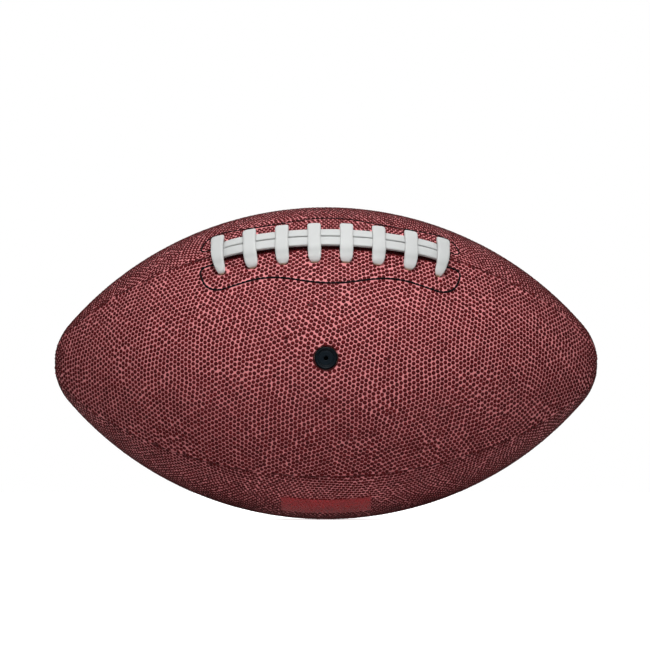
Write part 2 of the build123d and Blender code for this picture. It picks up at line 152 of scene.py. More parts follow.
# Label film
LABEL_SIZE = (47 * MM, 17.5 * MM)
LABEL_PLACE = 34.5 * MM
LABEL_RISE = 0.32 * MM
LABEL_THICKNESS = 0.1 * MM
LABEL_GRID = (40, 22)

# Floor
FLOOR_GAP = 0.1 * MM
# Size of the painted contact shadow and bounce glow on the floor round the ball
SHADOW_SIZE = (40 * MM, 60 * MM)


# Node trees

class Sketch:
    """A node tree that is written step by step."""

    def __init__(self, tree):
        self.tree = tree

    def add(self, kind, inputs=None, **settings):
        """One node with its settings, and values or links for its inputs."""
        node = self.tree.nodes.new(kind)
        for name, value in settings.items():
            setattr(node, name, value)
        for key, value in (inputs or {}).items():
            self.fill(node.inputs[key], value)
        return node

    def get(self, kind, inputs=None, **settings):
        """First output of a new node."""
        return self.add(kind, inputs, **settings).outputs[0]

    def fill(self, socket, value):
        """A value for a socket, or a link to it."""
        if isinstance(value, bpy.types.NodeSocket):
            self.tree.links.new(value, socket)
        else:
            socket.default_value = value

    def math(self, operation, *values):
        """Result of a number operation."""
        return self.get("ShaderNodeMath", dict(enumerate(values)), operation=operation)

    def vector(self, operation, *values):
        """Result of a vector operation."""
        return self.get("ShaderNodeVectorMath", dict(enumerate(values)), operation=operation)

    def length(self, vector):
        """Length of a vector."""
        return self.add("ShaderNodeVectorMath", {0: vector}, operation="LENGTH").outputs["Value"]

    def scaled(self, vector, factor):
        """Vector times a number."""
        return self.get("ShaderNodeVectorMath", {0: vector, "Scale": factor}, operation="SCALE")

    def noise(self, place, scale, detail, **more):
        """Cloudy noise from 0 to 1."""
        return self.get("ShaderNodeTexNoise", {"Vector": place, "Scale": scale, "Detail": detail, **more})

    def ramp(self, value, low, high):
        """Smooth 0 to 1 while a value goes from low to high."""
        inputs = {"Value": value, "From Min": low, "From Max": high}
        return self.get("ShaderNodeMapRange", inputs, interpolation_type="SMOOTHSTEP")

    def span(self, value, low, high):
        """Low to high while a value goes from 0 to 1."""
        return self.get("ShaderNodeMapRange", {"Value": value, "To Min": low, "To Max": high})

    def mix(self, factor, first, second):
        """Two colours mixed."""
        node = self.add("ShaderNodeMix", data_type="RGBA")
        for key, value in {"Factor": factor, "A": first, "B": second}.items():
            self.fill(next(s for s in node.inputs if s.name == key and s.enabled), value)
        return next(s for s in node.outputs if s.enabled)


def socket_kind(value):
    """Kind of interface socket that holds a value."""
    return {float: "NodeSocketFloat", tuple: "NodeSocketColor"}[type(value)]


def shader_group(name, inputs, outputs):
    """Empty shader node group with named inputs and outputs."""
    tree = bpy.data.node_groups.new(name, "ShaderNodeTree")
    tree.interface.new_socket("Vector", in_out="INPUT", socket_type="NodeSocketVector")
    for key, value in inputs.items():
        socket = tree.interface.new_socket(key, in_out="INPUT", socket_type=socket_kind(value))
        socket.default_value = value
    for key, kind in outputs.items():
        tree.interface.new_socket(key, in_out="OUTPUT", socket_type=kind)
    return Sketch(tree), tree.nodes.new("NodeGroupInput").outputs, tree.nodes.new("NodeGroupOutput").inputs


def tone_drift_group():
    """Slow change of a colour over a surface, from a darker to a lighter cast."""
    inputs = {"Color": (0.5, 0.5, 0.5, 1.0), "Scale": 30.0, "Amount": 0.2}
    sketch, given, result = shader_group("tone_drift", inputs, {"Color": "NodeSocketColor"})
    cloud = sketch.noise(given["Vector"], given["Scale"], 3.0)
    swing = sketch.math("MULTIPLY", sketch.math("SUBTRACT", cloud, 0.5), given["Amount"])
    value = sketch.math("ADD", 1.0, sketch.math("MULTIPLY", swing, 2.0))
    shifted = sketch.get("ShaderNodeHueSaturation", {"Value": value, "Color": given["Color"]})
    sketch.fill(result["Color"], shifted)
    return sketch.tree


def fine_grain_group():
    """Fine pores: a height for bump, and a roughness that follows it."""
    inputs = {"Scale": 1500.0, "Roughness": 0.5, "Spread": 0.1}
    outputs = {"Height": "NodeSocketFloat", "Roughness": "NodeSocketFloat"}
    sketch, given, result = shader_group("fine_grain", inputs, outputs)
    height = sketch.noise(given["Vector"], given["Scale"], 4.0, Roughness=0.6)
    patch = sketch.noise(given["Vector"], sketch.math("MULTIPLY", given["Scale"], 0.08), 2.0)
    both = sketch.math("SUBTRACT", sketch.math("ADD", height, patch), 1.0)
    rough = sketch.math("ADD", given["Roughness"], sketch.math("MULTIPLY", both, given["Spread"]))
    sketch.fill(result["Height"], height)
    sketch.fill(result["Roughness"], rough)
    return sketch.tree


def weave_group():
    """Plain weave: a height and a thread mask from two crossed waves."""
    inputs = {"Threads": 900.0}
    outputs = {"Height": "NodeSocketFloat", "Mask": "NodeSocketFloat"}
    sketch, given, result = shader_group("weave", inputs, outputs)
    split = sketch.add("ShaderNodeSeparateXYZ", {0: sketch.scaled(given["Vector"], given["Threads"])})
    warp = sketch.math("ABSOLUTE", sketch.math("SINE", sketch.math("MULTIPLY", split.outputs[0], math.pi)))
    across = sketch.math("ADD", split.outputs[1], split.outputs[2])
    weft = sketch.math("ABSOLUTE", sketch.math("SINE", sketch.math("MULTIPLY", across, math.pi)))
    sketch.fill(result["Height"], sketch.math("MAXIMUM", warp, weft))
    sketch.fill(result["Mask"], sketch.math("MULTIPLY", warp, weft))
    return sketch.tree


TONE_DRIFT = tone_drift_group()
FINE_GRAIN = fine_grain_group()
WEAVE = weave_group()


# Materials

class Finish(Sketch):
    """A material with a Principled shader, in Object coordinates."""

    def __init__(self, name, **constants):
        self.material = bpy.data.materials.new(name)
        self.material.use_nodes = True
        super().__init__(self.material.node_tree)
        self.shader = self.tree.nodes["Principled BSDF"]
        for key, value in constants.items():
            self.shader.inputs[key.replace("_", " ")].default_value = value
        self.place = self.add("ShaderNodeTexCoord").outputs["Object"]

    def group(self, tree, **inputs):
        """A shared effect with this material's own values."""
        return self.add("ShaderNodeGroup", {"Vector": self.place, **inputs}, node_tree=tree).outputs

    def feed(self, key, value):
        """Link to an input of the shader."""
        self.fill(self.shader.inputs[key], value)

    def bump(self, height, distance, strength=1.0):
        """Bump from a height, in metres."""
        inputs = {"Strength": strength, "Distance": distance, "Height": height}
        self.feed("Normal", self.get("ShaderNodeBump", inputs))

    def drift(self, color, scale, amount):
        """A colour that changes slowly over the surface."""
        return self.group(TONE_DRIFT, Color=color, Scale=scale, Amount=amount)["Color"]

    def grain(self, scale, roughness, spread):
        """Fine grain in the roughness; gives its height."""
        outputs = self.group(FINE_GRAIN, Scale=scale, Roughness=roughness, Spread=spread)
        self.feed("Roughness", outputs["Roughness"])
        return outputs["Height"]

    def attribute(self, name):
        """Number that is kept on the mesh under this name."""
        return self.add("ShaderNodeAttribute", attribute_name=name).outputs["Fac"]


def cover_leather():
    """Two-tone leather: dark tops on the pebbles and a red ground, with painted shade at the seams, beside
    the lace slit and round the valve, and a painted highlight on each pebble's crown.
    """
    leather = Finish("cover_leather", Specular_IOR_Level=0.04)
    tops = leather.mix(leather.attribute("tone"), (0.058, 0.005, 0.006, 1), (0.118, 0.009, 0.011, 1))
    # Each pebble is lighter at its crown than on its flanks: a painted highlight.
    tops = leather.mix(leather.ramp(leather.attribute("crown"), 0.3, 1.0), (0.045, 0.004, 0.005, 1), tops)
    ground = leather.drift((0.68, 0.232, 0.245, 1), 24.0, 0.08)
    blotches = leather.noise(leather.place, 420.0, 2.0)
    patches = leather.noise(leather.place, 130.0, 1.0)
    ragged = leather.math("MULTIPLY", leather.math("SUBTRACT", blotches, 0.5), 1.2)
    broken = leather.math("MULTIPLY", leather.math("SUBTRACT", patches, 0.52), 2.2)
    ragged = leather.math("ADD", ragged, broken)
    # Painted shade: a dark ring round the valve.
    from_valve = leather.length(leather.vector("SUBTRACT", leather.place, (0, -WAIST_RADIUS, 0)))
    valve_shade = leather.ramp(from_valve, *VALVE_SHADE)
    painted_shade = leather.math("MAXIMUM", leather.attribute("edge"), valve_shade)
    # Painted shade from the seams, the strands and the valve, broken up by noise, darkens the red ground.
    shade_mask = leather.ramp(leather.math("ADD", painted_shade, ragged), 0.4, 0.85)
    ground = leather.mix(shade_mask, ground, (0.045, 0.007, 0.008, 1))
    crown = leather.ramp(leather.attribute("crown"), 0.0, 0.42)
    leather.feed("Base Color", leather.mix(crown, ground, tops))
    leather.bump(leather.grain(2600.0, 0.50, 0.16), 0.06 * MM, 0.6)
    return leather.material


def lace_vinyl():
    """Off-white vinyl with a soft gloss, with painted light that whitens the front bends, and painted shade
    and warm reflected light in tan where the lace dips into its holes.
    """
    vinyl = Finish("lace_vinyl", Specular_IOR_Level=0.3, Subsurface_Weight=0.5, Subsurface_Scale=2 * MM,
                   Subsurface_Radius=(1, 1, 1))
    clean = vinyl.drift((0.495, 0.505, 0.50, 1), 70.0, 0.05)
    # Painted light: the front bends, which face down, are whitened.
    clean = vinyl.mix(vinyl.ramp(vinyl.attribute("bend"), 0.62, 1.2), clean, (0.92, 0.93, 0.92, 1))
    # Painted shade and warm reflected light, in tan, where the lace dips into its holes.
    hole_shade = vinyl.ramp(vinyl.attribute("hole_shade"), 0.5, 1.0)
    vinyl.feed("Base Color", vinyl.mix(hole_shade, clean, (0.42, 0.24, 0.12, 1)))
    vinyl.bump(vinyl.grain(1800.0, 0.5, 0.14), 0.04 * MM, 0.5)
    return vinyl.material


def twisted_thread(name, color):
    """Dull twisted thread with a fine nap."""
    thread = Finish(name, Specular_IOR_Level=0.08)
    thread.feed("Base Color", thread.drift(color, 120.0, 0.35))
    thread.bump(thread.grain(4200.0, 0.7, 0.2), 0.12 * MM)
    return thread.material


def moulded_rubber(name, color, roughness, gloss=0.1, scale=1600.0):
    """Dusty moulded rubber."""
    rubber = Finish(name, Specular_IOR_Level=gloss)
    rubber.feed("Base Color", rubber.drift(color, 160.0, 0.25))
    rubber.bump(rubber.grain(scale, roughness, 0.25), 0.05 * MM)
    return rubber.material


def woven_cloth(name, color, shade, threads):
    """Plain woven cloth with darker gaps between its threads."""
    cloth = Finish(name, Sheen_Weight=0.3, Specular_IOR_Level=0.2)
    weave = cloth.group(WEAVE, Threads=threads)
    lit = cloth.drift(color, 45.0, 0.12)
    cloth.feed("Base Color", cloth.mix(cloth.ramp(weave["Mask"], 0.1, 0.8), shade, lit))
    cloth.grain(3000.0, 0.85, 0.1)
    cloth.bump(weave["Height"], 0.25 * MM)
    return cloth.material


def label_plastic():
    """Thin red-brown film that lets the pebbles show through."""
    film = Finish("label_plastic", Specular_IOR_Level=0.25)
    film.feed("Base Color", film.drift((0.40, 0.018, 0.024, 1), 60.0, 0.2))
    height = film.grain(700.0, 0.32, 0.15)
    film.feed("Alpha", film.ramp(height, -1.3, 2.1))
    film.bump(height, 0.1 * MM)
    return film.material


def pale_paper():
    """Floor: a pale sheet that glows as bright as the studio behind it, with a painted contact shadow right
    round the ball; to other rays it glows most near the ball, as painted bounce light.
    """
    paper = Finish("pale_paper", Specular_IOR_Level=0.1)
    paper.feed("Base Color", paper.drift((0.75, 0.75, 0.75, 1), 2.0, 0.01))
    paper.grain(400.0, 0.9, 0.05)
    # Painted contact shadow: the glow is greyer right round the ball.
    from_foot = paper.vector("MULTIPLY", paper.place, (1 / SHADOW_SIZE[0], 1 / SHADOW_SIZE[1], 0))
    distance = paper.length(from_foot)
    clear = paper.ramp(distance, 0.3, 1.15)
    paper.feed("Emission Color", paper.mix(clear, (0.55, 0.55, 0.55, 1), (1, 1, 1, 1)))
    seen = paper.add("ShaderNodeLightPath").outputs["Is Camera Ray"]
    # Painted bounce light: to rays that are not the camera's, the floor glows most near the ball.
    bounce = paper.span(paper.ramp(distance, 0.3, 1.5), 0.55, 0.09)
    paper.feed("Emission Strength", paper.span(seen, bounce, 1.0))
    return paper.material


LEATHER = cover_leather()
VINYL = lace_vinyl()
BLACK_THREAD = twisted_thread("black_thread", (0.004, 0.003, 0.004, 1))
PALE_THREAD = twisted_thread("pale_thread", (0.66, 0.34, 0.17, 1))
VALVE_RUBBER = moulded_rubber("valve_rubber", (0.004, 0.007, 0.010, 1), 0.38)
CORE_RUBBER = moulded_rubber("core_rubber", (0.004, 0.008, 0.012, 1), 0.42)
BLADDER_RUBBER = moulded_rubber("bladder_rubber", (0.03, 0.03, 0.033, 1), 0.5, 0.3, 700.0)
LINING_CLOTH = woven_cloth("lining_cloth", (0.60, 0.52, 0.40, 1), (0.34, 0.28, 0.20, 1), 900.0)
FACING_CLOTH = woven_cloth("facing_cloth", (0.30, 0.21, 0.15, 1), (0.14, 0.09, 0.06, 1), 1400.0)
TONGUE_FELT = woven_cloth("tongue_felt", (0.10, 0.07, 0.055, 1), (0.04, 0.03, 0.02, 1), 2200.0)
LABEL_FILM = label_plastic()
PAPER = pale_paper()


# Shape of the casing

def spin_radius(x):
    """Distance from a panel's spin axis to its surface."""
    x = np.abs(x)
    side = np.sqrt(SIDE_RADIUS**2 - np.minimum(x, JOIN_X) ** 2) - SUNK
    tip = np.sqrt(TIP_RADIUS**2 - np.clip(x - NOSE_X, 0, TIP_RADIUS) ** 2)
    return np.where(x <= JOIN_X, side, tip) + AXIS_OFFSET


def lean(x):
    """Sine of the angle at which the surface leans towards a tip."""
    side = x / SIDE_RADIUS
    tip = np.sign(x) * np.clip((np.abs(x) - NOSE_X) / TIP_RADIUS, 0, 1)
    return np.where(np.abs(x) <= JOIN_X, side, tip)


def middle_line(run):
    """X, Z and angle of the middle line of a +Z panel, at a distance along it from the waist."""
    reach = np.abs(run)
    angle = np.where(reach <= SIDE_RUN, reach / SIDE_RADIUS, SIDE_TURN + (reach - SIDE_RUN) / TIP_RADIUS)
    on_side = reach <= SIDE_RUN
    x = np.where(on_side, SIDE_RADIUS * np.sin(angle), NOSE_X + TIP_RADIUS * np.sin(angle))
    z = np.where(on_side, SIDE_RADIUS * np.cos(angle) - SUNK, TIP_RADIUS * np.cos(angle))
    return np.sign(run) * x, z, np.sign(run) * angle


def cover_points(run, y):
    """Points of the +Z panel square to its middle line, at a distance along it and at y beside it."""
    x, z, angle = middle_line(run)
    low = -2 * np.abs(y) - MM
    high = np.zeros_like(y)
    for _ in range(BISECTIONS):
        drop = (low + high) / 2
        reach = np.hypot(y, z + drop * np.cos(angle) + AXIS_OFFSET)
        outside = reach > spin_radius(x + drop * np.sin(angle))
        high = np.where(outside, drop, high)
        low = np.where(outside, low, drop)
    return np.stack([x + high * np.sin(angle), y + 0 * x, z + high * np.cos(angle)], -1)


def cover_normals(points):
    """Outward directions of the +Z panel at points on it."""
    x, y, z = np.moveaxis(points, -1, 0)
    rise = lean(x)
    spread = np.sqrt(1 - rise**2) / np.hypot(y, z + AXIS_OFFSET)
    return np.stack([rise, spread * y, spread * (z + AXIS_OFFSET)], -1)


def seam_places(run):
    """Y of the seam beside the +Z panel, at distances along its middle line."""
    low = np.zeros_like(run)
    high = np.full_like(run, WAIST_RADIUS)
    for _ in range(BISECTIONS):
        y = (low + high) / 2
        inside = cover_points(run, y)[..., 2] - y > SEAM_GAP / math.sqrt(2)
        low = np.where(inside, y, low)
        high = np.where(inside, high, y)
    return low


def turned(points, degrees):
    """Points turned about X."""
    angle = math.radians(degrees)
    x, y, z = np.moveaxis(np.asarray(points, float), -1, 0)
    new_y = y * math.cos(angle) - z * math.sin(angle)
    new_z = y * math.sin(angle) + z * math.cos(angle)
    return np.stack([x, new_y, new_z], -1)


def seam_height(x, y=0.0):
    """Height of the cover beside a seam that points to +Z."""
    return np.sqrt(spin_radius(x) ** 2 - (np.abs(y) + RIDGE_SHIFT) ** 2) - RIDGE_SHIFT


def seam_normal(x, y):
    """Outward directions of the cover beside a seam that points to +Z."""
    rise = lean(x)
    spread = np.sqrt(1 - rise**2) / spin_radius(x)
    across = spread * (y + np.copysign(RIDGE_SHIFT, y))
    return np.stack([rise + 0 * y, across, spread * (seam_height(x, y) + RIDGE_SHIFT)], -1)


def station(x):
    """Place on the lace seam, with the directions along the seam and outwards."""
    step = 0.5 * MM
    rise = (seam_height(x + step) - seam_height(x - step)) / (2 * step)
    along = Vector((1, 0, float(rise))).normalized()
    return Vector((x, 0, float(seam_height(x)))), along, Vector((-along.z, 0, along.x))


# Meshes

def make_object(name, points, faces, edges=()):
    """New object in the scene from points, edges and faces."""
    mesh = bpy.data.meshes.new(name)
    mesh.from_pydata(np.asarray(points, float).tolist(), list(edges), list(faces))
    mesh.update()
    obj = bpy.data.objects.new(name, mesh)
    bpy.context.scene.collection.objects.link(obj)
    return obj


def close_up(obj, sharp_degrees=40):
    """Faces outwards and smooth, with creases kept sharp."""
    shape = bmesh.new()
    shape.from_mesh(obj.data)
    bmesh.ops.remove_doubles(shape, verts=shape.verts, dist=1e-7)
    bmesh.ops.recalc_face_normals(shape, faces=shape.faces)
    shape.to_mesh(obj.data)
    shape.free()
    obj.data.shade_smooth()
    obj.data.set_sharp_from_angle(angle=math.radians(sharp_degrees))
    return obj


def loft(rings):
    """Closed skin over a row of rings of as many points, with a flat cap at both ends."""
    rings = np.asarray(rings, float)
    rows, count = rings.shape[:2]
    faces = []
    for i in range(rows - 1):
        for j in range(count):
            k = (j + 1) % count
            faces.append((i * count + j, i * count + k, (i + 1) * count + k, (i + 1) * count + j))
    faces.append(tuple(range(count)))
    faces.append(tuple((rows - 1) * count + j for j in range(count)))
    return rings.reshape(-1, 3), faces


def lathe(profile, sides):
    """Closed skin of a profile of radius and height, spun about Z."""
    turns = np.linspace(0, 2 * math.pi, sides, endpoint=False)
    rings = [[(r * math.cos(a), r * math.sin(a), h) for r, h in profile] for a in turns]
    rings.append(rings[0])
    points, faces = loft(rings)
    return points, faces[:-2]


def grid_faces(rows, count):
    """Faces between the neighbouring points of a grid."""
    corners = [i * count + j for i in range(rows - 1) for j in range(count - 1)]
    return [(c, c + count, c + count + 1, c + 1) for c in corners]


def circle(radius, height, sides):
    """Points of a level circle."""
    angles = [2 * math.pi * i / sides for i in range(sides)]
    return [(radius * math.cos(a), radius * math.sin(a), height) for a in angles]


def set_numbers(mesh, name, values):
    """Number on each point of a mesh."""
    mesh.attributes.new(name, "FLOAT", "POINT").data.foreach_set("value", np.ravel(values))


def set_directions(mesh, name, values):
    """Direction on each point of a mesh."""
    mesh.attributes.new(name, "FLOAT_VECTOR", "POINT").data.foreach_set("vector", np.ravel(values))


def remove(*objects):
    """Takes helper objects out of the scene."""
    for obj in objects:
        bpy.data.objects.remove(obj)


def settle(obj):
    """Turns what the modifiers make into the object's plain mesh."""
    graph = bpy.context.evaluated_depsgraph_get()
    mesh = bpy.data.meshes.new_from_object(obj.evaluated_get(graph), depsgraph=graph)
    obj.modifiers.clear()
    obj.data = mesh
    return obj


def grow(obj, tree, **values):
    """Adds a node modifier with its named inputs and settles the result."""
    modifier = obj.modifiers.new(tree.name, "NODES")
    modifier.node_group = tree
    for item in tree.interface.items_tree:
        if item.in_out == "INPUT" and item.name in values:
            modifier[item.identifier] = values[item.name]
    return settle(obj)


class GeometrySketch(Sketch):
    """A geometry tree that is written step by step."""

    def stored(self, name, kind="FLOAT_VECTOR"):
        """What the points keep under a name."""
        return self.get("GeometryNodeInputNamedAttribute", {"Name": name}, data_type=kind)

    def keep(self, geometry, name, value, **settings):
        """Geometry that keeps a value under a name."""
        inputs = {"Geometry": geometry, "Name": name, "Value": value}
        return self.get("GeometryNodeStoreNamedAttribute", inputs, **settings)

    def random(self, low, high, seed):
        """Number between two others, for each point."""
        inputs = {"Min": low, "Max": high, "Seed": seed}
        return self.add("FunctionNodeRandomValue", inputs).outputs[1]

    def random_vector(self, low, high, seed):
        """Vector between two others, for each point."""
        inputs = {"Min": low, "Max": high, "Seed": seed}
        return self.get("FunctionNodeRandomValue", inputs, data_type="FLOAT_VECTOR")

    def upright(self):
        """Turn that sets a shape's Z on the stored outward direction."""
        inputs = {"Vector": self.stored("outwards")}
        return self.get("FunctionNodeAlignRotationToVector", inputs, axis="Z")

    def set_along(self, turn, direction):
        """Turn with its X set along a direction, about its Z."""
        inputs = {"Rotation": turn, "Vector": direction}
        return self.get("FunctionNodeAlignRotationToVector", inputs, axis="X", pivot_axis="Z")

    def about_z(self, angle):
        """Turn about Z."""
        return self.get("FunctionNodeAxisAngleToRotation", {"Axis": (0, 0, 1), "Angle": angle})

    def spun(self, turn, angle):
        """Turn with a spin about its own Z."""
        inputs = {"Rotation": turn, "Rotate By": self.about_z(angle)}
        return self.get("FunctionNodeRotateRotation", inputs, rotation_space="LOCAL")

    def moved(self, points, **places):
        """Points set at a position, or moved by an offset."""
        return self.get("GeometryNodeSetPosition", {"Geometry": points, **places})

    def without(self, points, selection):
        """Points that are left when a selection is taken away."""
        return self.get("GeometryNodeDeleteGeometry", {"Geometry": points, "Selection": selection})

    def shape_of(self, obj, as_instance=False):
        """Geometry of an object."""
        inputs = {"Object": obj, "As Instance": as_instance}
        return self.add("GeometryNodeObjectInfo", inputs).outputs["Geometry"]

    def joined(self, *parts):
        """Geometries put together."""
        node = self.add("GeometryNodeJoinGeometry")
        for part in parts:
            self.tree.links.new(part, node.inputs[0])
        return node.outputs[0]

    def realized(self, instances):
        """Instances made into one smooth mesh."""
        mesh = self.get("GeometryNodeRealizeInstances", {"Geometry": instances})
        return self.get("GeometryNodeSetShadeSmooth", {"Geometry": mesh})

    def finish(self, geometry, material, result):
        """Gives the geometry its material and ends the tree with it."""
        dressed = self.get("GeometryNodeSetMaterial", {"Geometry": geometry, "Material": material})
        self.fill(result["Geometry"], dressed)
        return self.tree


def nodes_tree(name, inputs):
    """Empty geometry tree with named inputs."""
    tree = bpy.data.node_groups.new(name, "GeometryNodeTree")
    tree.interface.new_socket("Geometry", in_out="INPUT", socket_type="NodeSocketGeometry")
    for key, kind in inputs.items():
        tree.interface.new_socket(key, in_out="INPUT", socket_type="NodeSocket" + kind)
    tree.interface.new_socket("Geometry", in_out="OUTPUT", socket_type="NodeSocketGeometry")
    given = tree.nodes.new("NodeGroupInput").outputs
    return GeometrySketch(tree), given, tree.nodes.new("NodeGroupOutput").inputs


def settled_points(sketch, points, apart, rounds):
    """Points moved away from their nearest neighbours until few lie closer than a distance."""
    start = sketch.add("GeometryNodeRepeatInput")
    end = sketch.add("GeometryNodeRepeatOutput")
    start.pair_with_output(end)
    sketch.fill(start.inputs["Iterations"], rounds)
    sketch.fill(start.inputs["Geometry"], points)
    place = sketch.get("GeometryNodeInputPosition")
    neighbour = sketch.add("GeometryNodeFieldAtIndex", data_type="FLOAT_VECTOR")
    sketch.fill(neighbour.inputs["Index"], sketch.add("GeometryNodeIndexOfNearest").outputs["Index"])
    sketch.fill(next(i for i in neighbour.inputs if i.name == "Value" and i.enabled), place)
    away = sketch.vector("SUBTRACT", place, next(o for o in neighbour.outputs if o.enabled))
    lack = sketch.math("MAXIMUM", sketch.math("SUBTRACT", apart, sketch.length(away)), 0.0)
    push = sketch.scaled(sketch.vector("NORMALIZE", away), sketch.math("MULTIPLY", lack, 0.5))
    sketch.fill(end.inputs["Geometry"], sketch.moved(start.outputs["Geometry"], Offset=push))
    return end.outputs["Geometry"]


def pebble_tree():
    """Staggered pebbles on a panel's flat cut, carried over to the sewn panel."""
    inputs = {"Pattern": "Object", "Bare": "Object", "Dome": "Object", "Pitch": "Float", "Wander": "Float",
              "Jitter": "Float", "Radius": "Float", "Height": "Float", "Margin": "Float",
              "Sheet Length": "Float", "Sheet Width": "Float", "Turn": "Float", "Apart": "Float",
              "Rounds": "Int", "Seed": "Int", "Leather": "Material"}
    sketch, given, result = nodes_tree("pebbled_cover", inputs)
    seed = given["Seed"]

    # Two lattices, one shifted by half a cell each way
    row_pitch = sketch.math("MULTIPLY", given["Pitch"], math.sqrt(3))
    columns = sketch.math("FLOOR", sketch.math("DIVIDE", given["Sheet Length"], given["Pitch"]))
    rows = sketch.math("FLOOR", sketch.math("DIVIDE", given["Sheet Width"], row_pitch))
    lattice = sketch.add("GeometryNodeMeshGrid", {
        "Size X": sketch.math("MULTIPLY", columns, given["Pitch"]),
        "Size Y": sketch.math("MULTIPLY", rows, row_pitch),
        "Vertices X": sketch.math("ADD", columns, 1.0),
        "Vertices Y": sketch.math("ADD", rows, 1.0)}).outputs["Mesh"]
    half_cell = sketch.get("ShaderNodeCombineXYZ", {
        0: sketch.math("MULTIPLY", given["Pitch"], 0.5), 1: sketch.math("MULTIPLY", row_pitch, 0.5)})
    shifted = sketch.get("GeometryNodeTransform", {"Geometry": lattice, "Translation": half_cell})
    points = sketch.get("GeometryNodeTransform", {
        "Geometry": sketch.joined(lattice, shifted), "Rotation": sketch.about_z(given["Turn"])})

    # Rows that wander, as on a pressed hide
    place = sketch.get("GeometryNodeInputPosition")
    seed_shift = sketch.get("ShaderNodeCombineXYZ", {2: sketch.math("MULTIPLY", seed, 1.7)})
    noise_place = sketch.vector("ADD", place, seed_shift)
    clouds = []
    for step in ((0, 1, 0), (0, -1, 0), (-1, 0, 0), (1, 0, 0)):
        beside = sketch.vector("ADD", noise_place, tuple(WANDER_STEP * number for number in step))
        clouds.append(sketch.noise(beside, 19.0, 0.5))
    swirl = sketch.get("ShaderNodeCombineXYZ", {
        0: sketch.math("SUBTRACT", clouds[0], clouds[1]), 1: sketch.math("SUBTRACT", clouds[2], clouds[3])})
    drift = sketch.scaled(swirl, sketch.math("MULTIPLY", given["Wander"], 5.0))
    shake = sketch.scaled(sketch.random_vector((-1, -1, 0), (1, 1, 0), seed), given["Jitter"])
    points = sketch.moved(points, Offset=sketch.vector("ADD", drift, shake))
    points = settled_points(sketch, points, given["Apart"], given["Rounds"])

    # From the flat cut to the sewn panel
    sampled = {}
    for key, value in {"place": place, "outwards": sketch.stored("outwards")}.items():
        links = {"Mesh": sketch.shape_of(given["Pattern"]), "Value": value, "Sample UV": place}
        sampled[key] = sketch.add("GeometryNodeSampleUVSurface", links, data_type="FLOAT_VECTOR")
        names = ("UV Map", "Source UV Map")
        flat_cut = next(socket for socket in sampled[key].inputs if socket.name in names)
        sketch.fill(flat_cut, sketch.stored("flat"))
    points = sketch.keep(points, "outwards", sampled["outwards"].outputs[0], data_type="FLOAT_VECTOR")
    valid = sampled["place"].outputs["Is Valid"]
    off = sketch.get("FunctionNodeBooleanMath", {0: valid}, operation="NOT")
    points = sketch.keep(points, "off", off, data_type="BOOLEAN")
    points = sketch.moved(points, Position=sampled["place"].outputs[0])
    points = sketch.without(points, sketch.stored("off", "BOOLEAN"))
    bare = {"Geometry": sketch.shape_of(given["Bare"])}
    near = sketch.add("GeometryNodeProximity", bare, target_element="EDGES").outputs["Distance"]
    close = sketch.get("FunctionNodeCompare", {"A": near, "B": given["Margin"]}, operation="LESS_THAN")
    points = sketch.without(points, close)

    # One dome on each point
    width = sketch.random_vector((0.9, 0.9, 0.85), (1.05, 1.05, 1.1), seed)
    size = sketch.get("ShaderNodeCombineXYZ", {0: given["Radius"], 1: given["Radius"], 2: given["Height"]})
    spin = sketch.random(0.0, 2 * math.pi, seed)
    domes = sketch.get("GeometryNodeInstanceOnPoints", {
        "Points": points, "Instance": sketch.shape_of(given["Dome"]),
        "Rotation": sketch.spun(sketch.upright(), spin), "Scale": sketch.vector("MULTIPLY", width, size)})
    tone = sketch.random(0.0, 1.0, seed)
    domes = sketch.keep(domes, "tone", tone, data_type="FLOAT", domain="INSTANCE")
    whole = sketch.joined(given["Geometry"], sketch.realized(domes))
    return sketch.finish(whole, given["Leather"], result)


def stitch_tree():
    """Stitches of one length along a path, each set on the stored outward direction."""
    inputs = {"Stitch": "Object", "Pitch": "Float", "Size": "Vector", "Spread": "Float", "Seed": "Int",
              "Thread": "Material"}
    sketch, given, result = nodes_tree("stitch_run", inputs)
    path = sketch.get("GeometryNodeMeshToCurve", {"Mesh": given["Geometry"]})
    path = sketch.get("GeometryNodeResampleCurve", {"Curve": path, "Length": given["Pitch"]}, mode="LENGTH")
    low = sketch.math("SUBTRACT", 1.0, given["Spread"])
    high = sketch.math("ADD", 1.0, given["Spread"])
    change = sketch.random_vector(low, high, given["Seed"])
    row = sketch.get("GeometryNodeInstanceOnPoints", {
        "Points": path, "Instance": sketch.shape_of(given["Stitch"]),
        "Rotation": sketch.set_along(sketch.upright(), sketch.get("GeometryNodeInputTangent")),
        "Scale": sketch.vector("MULTIPLY", change, given["Size"])})
    return sketch.finish(sketch.realized(row), given["Thread"], result)


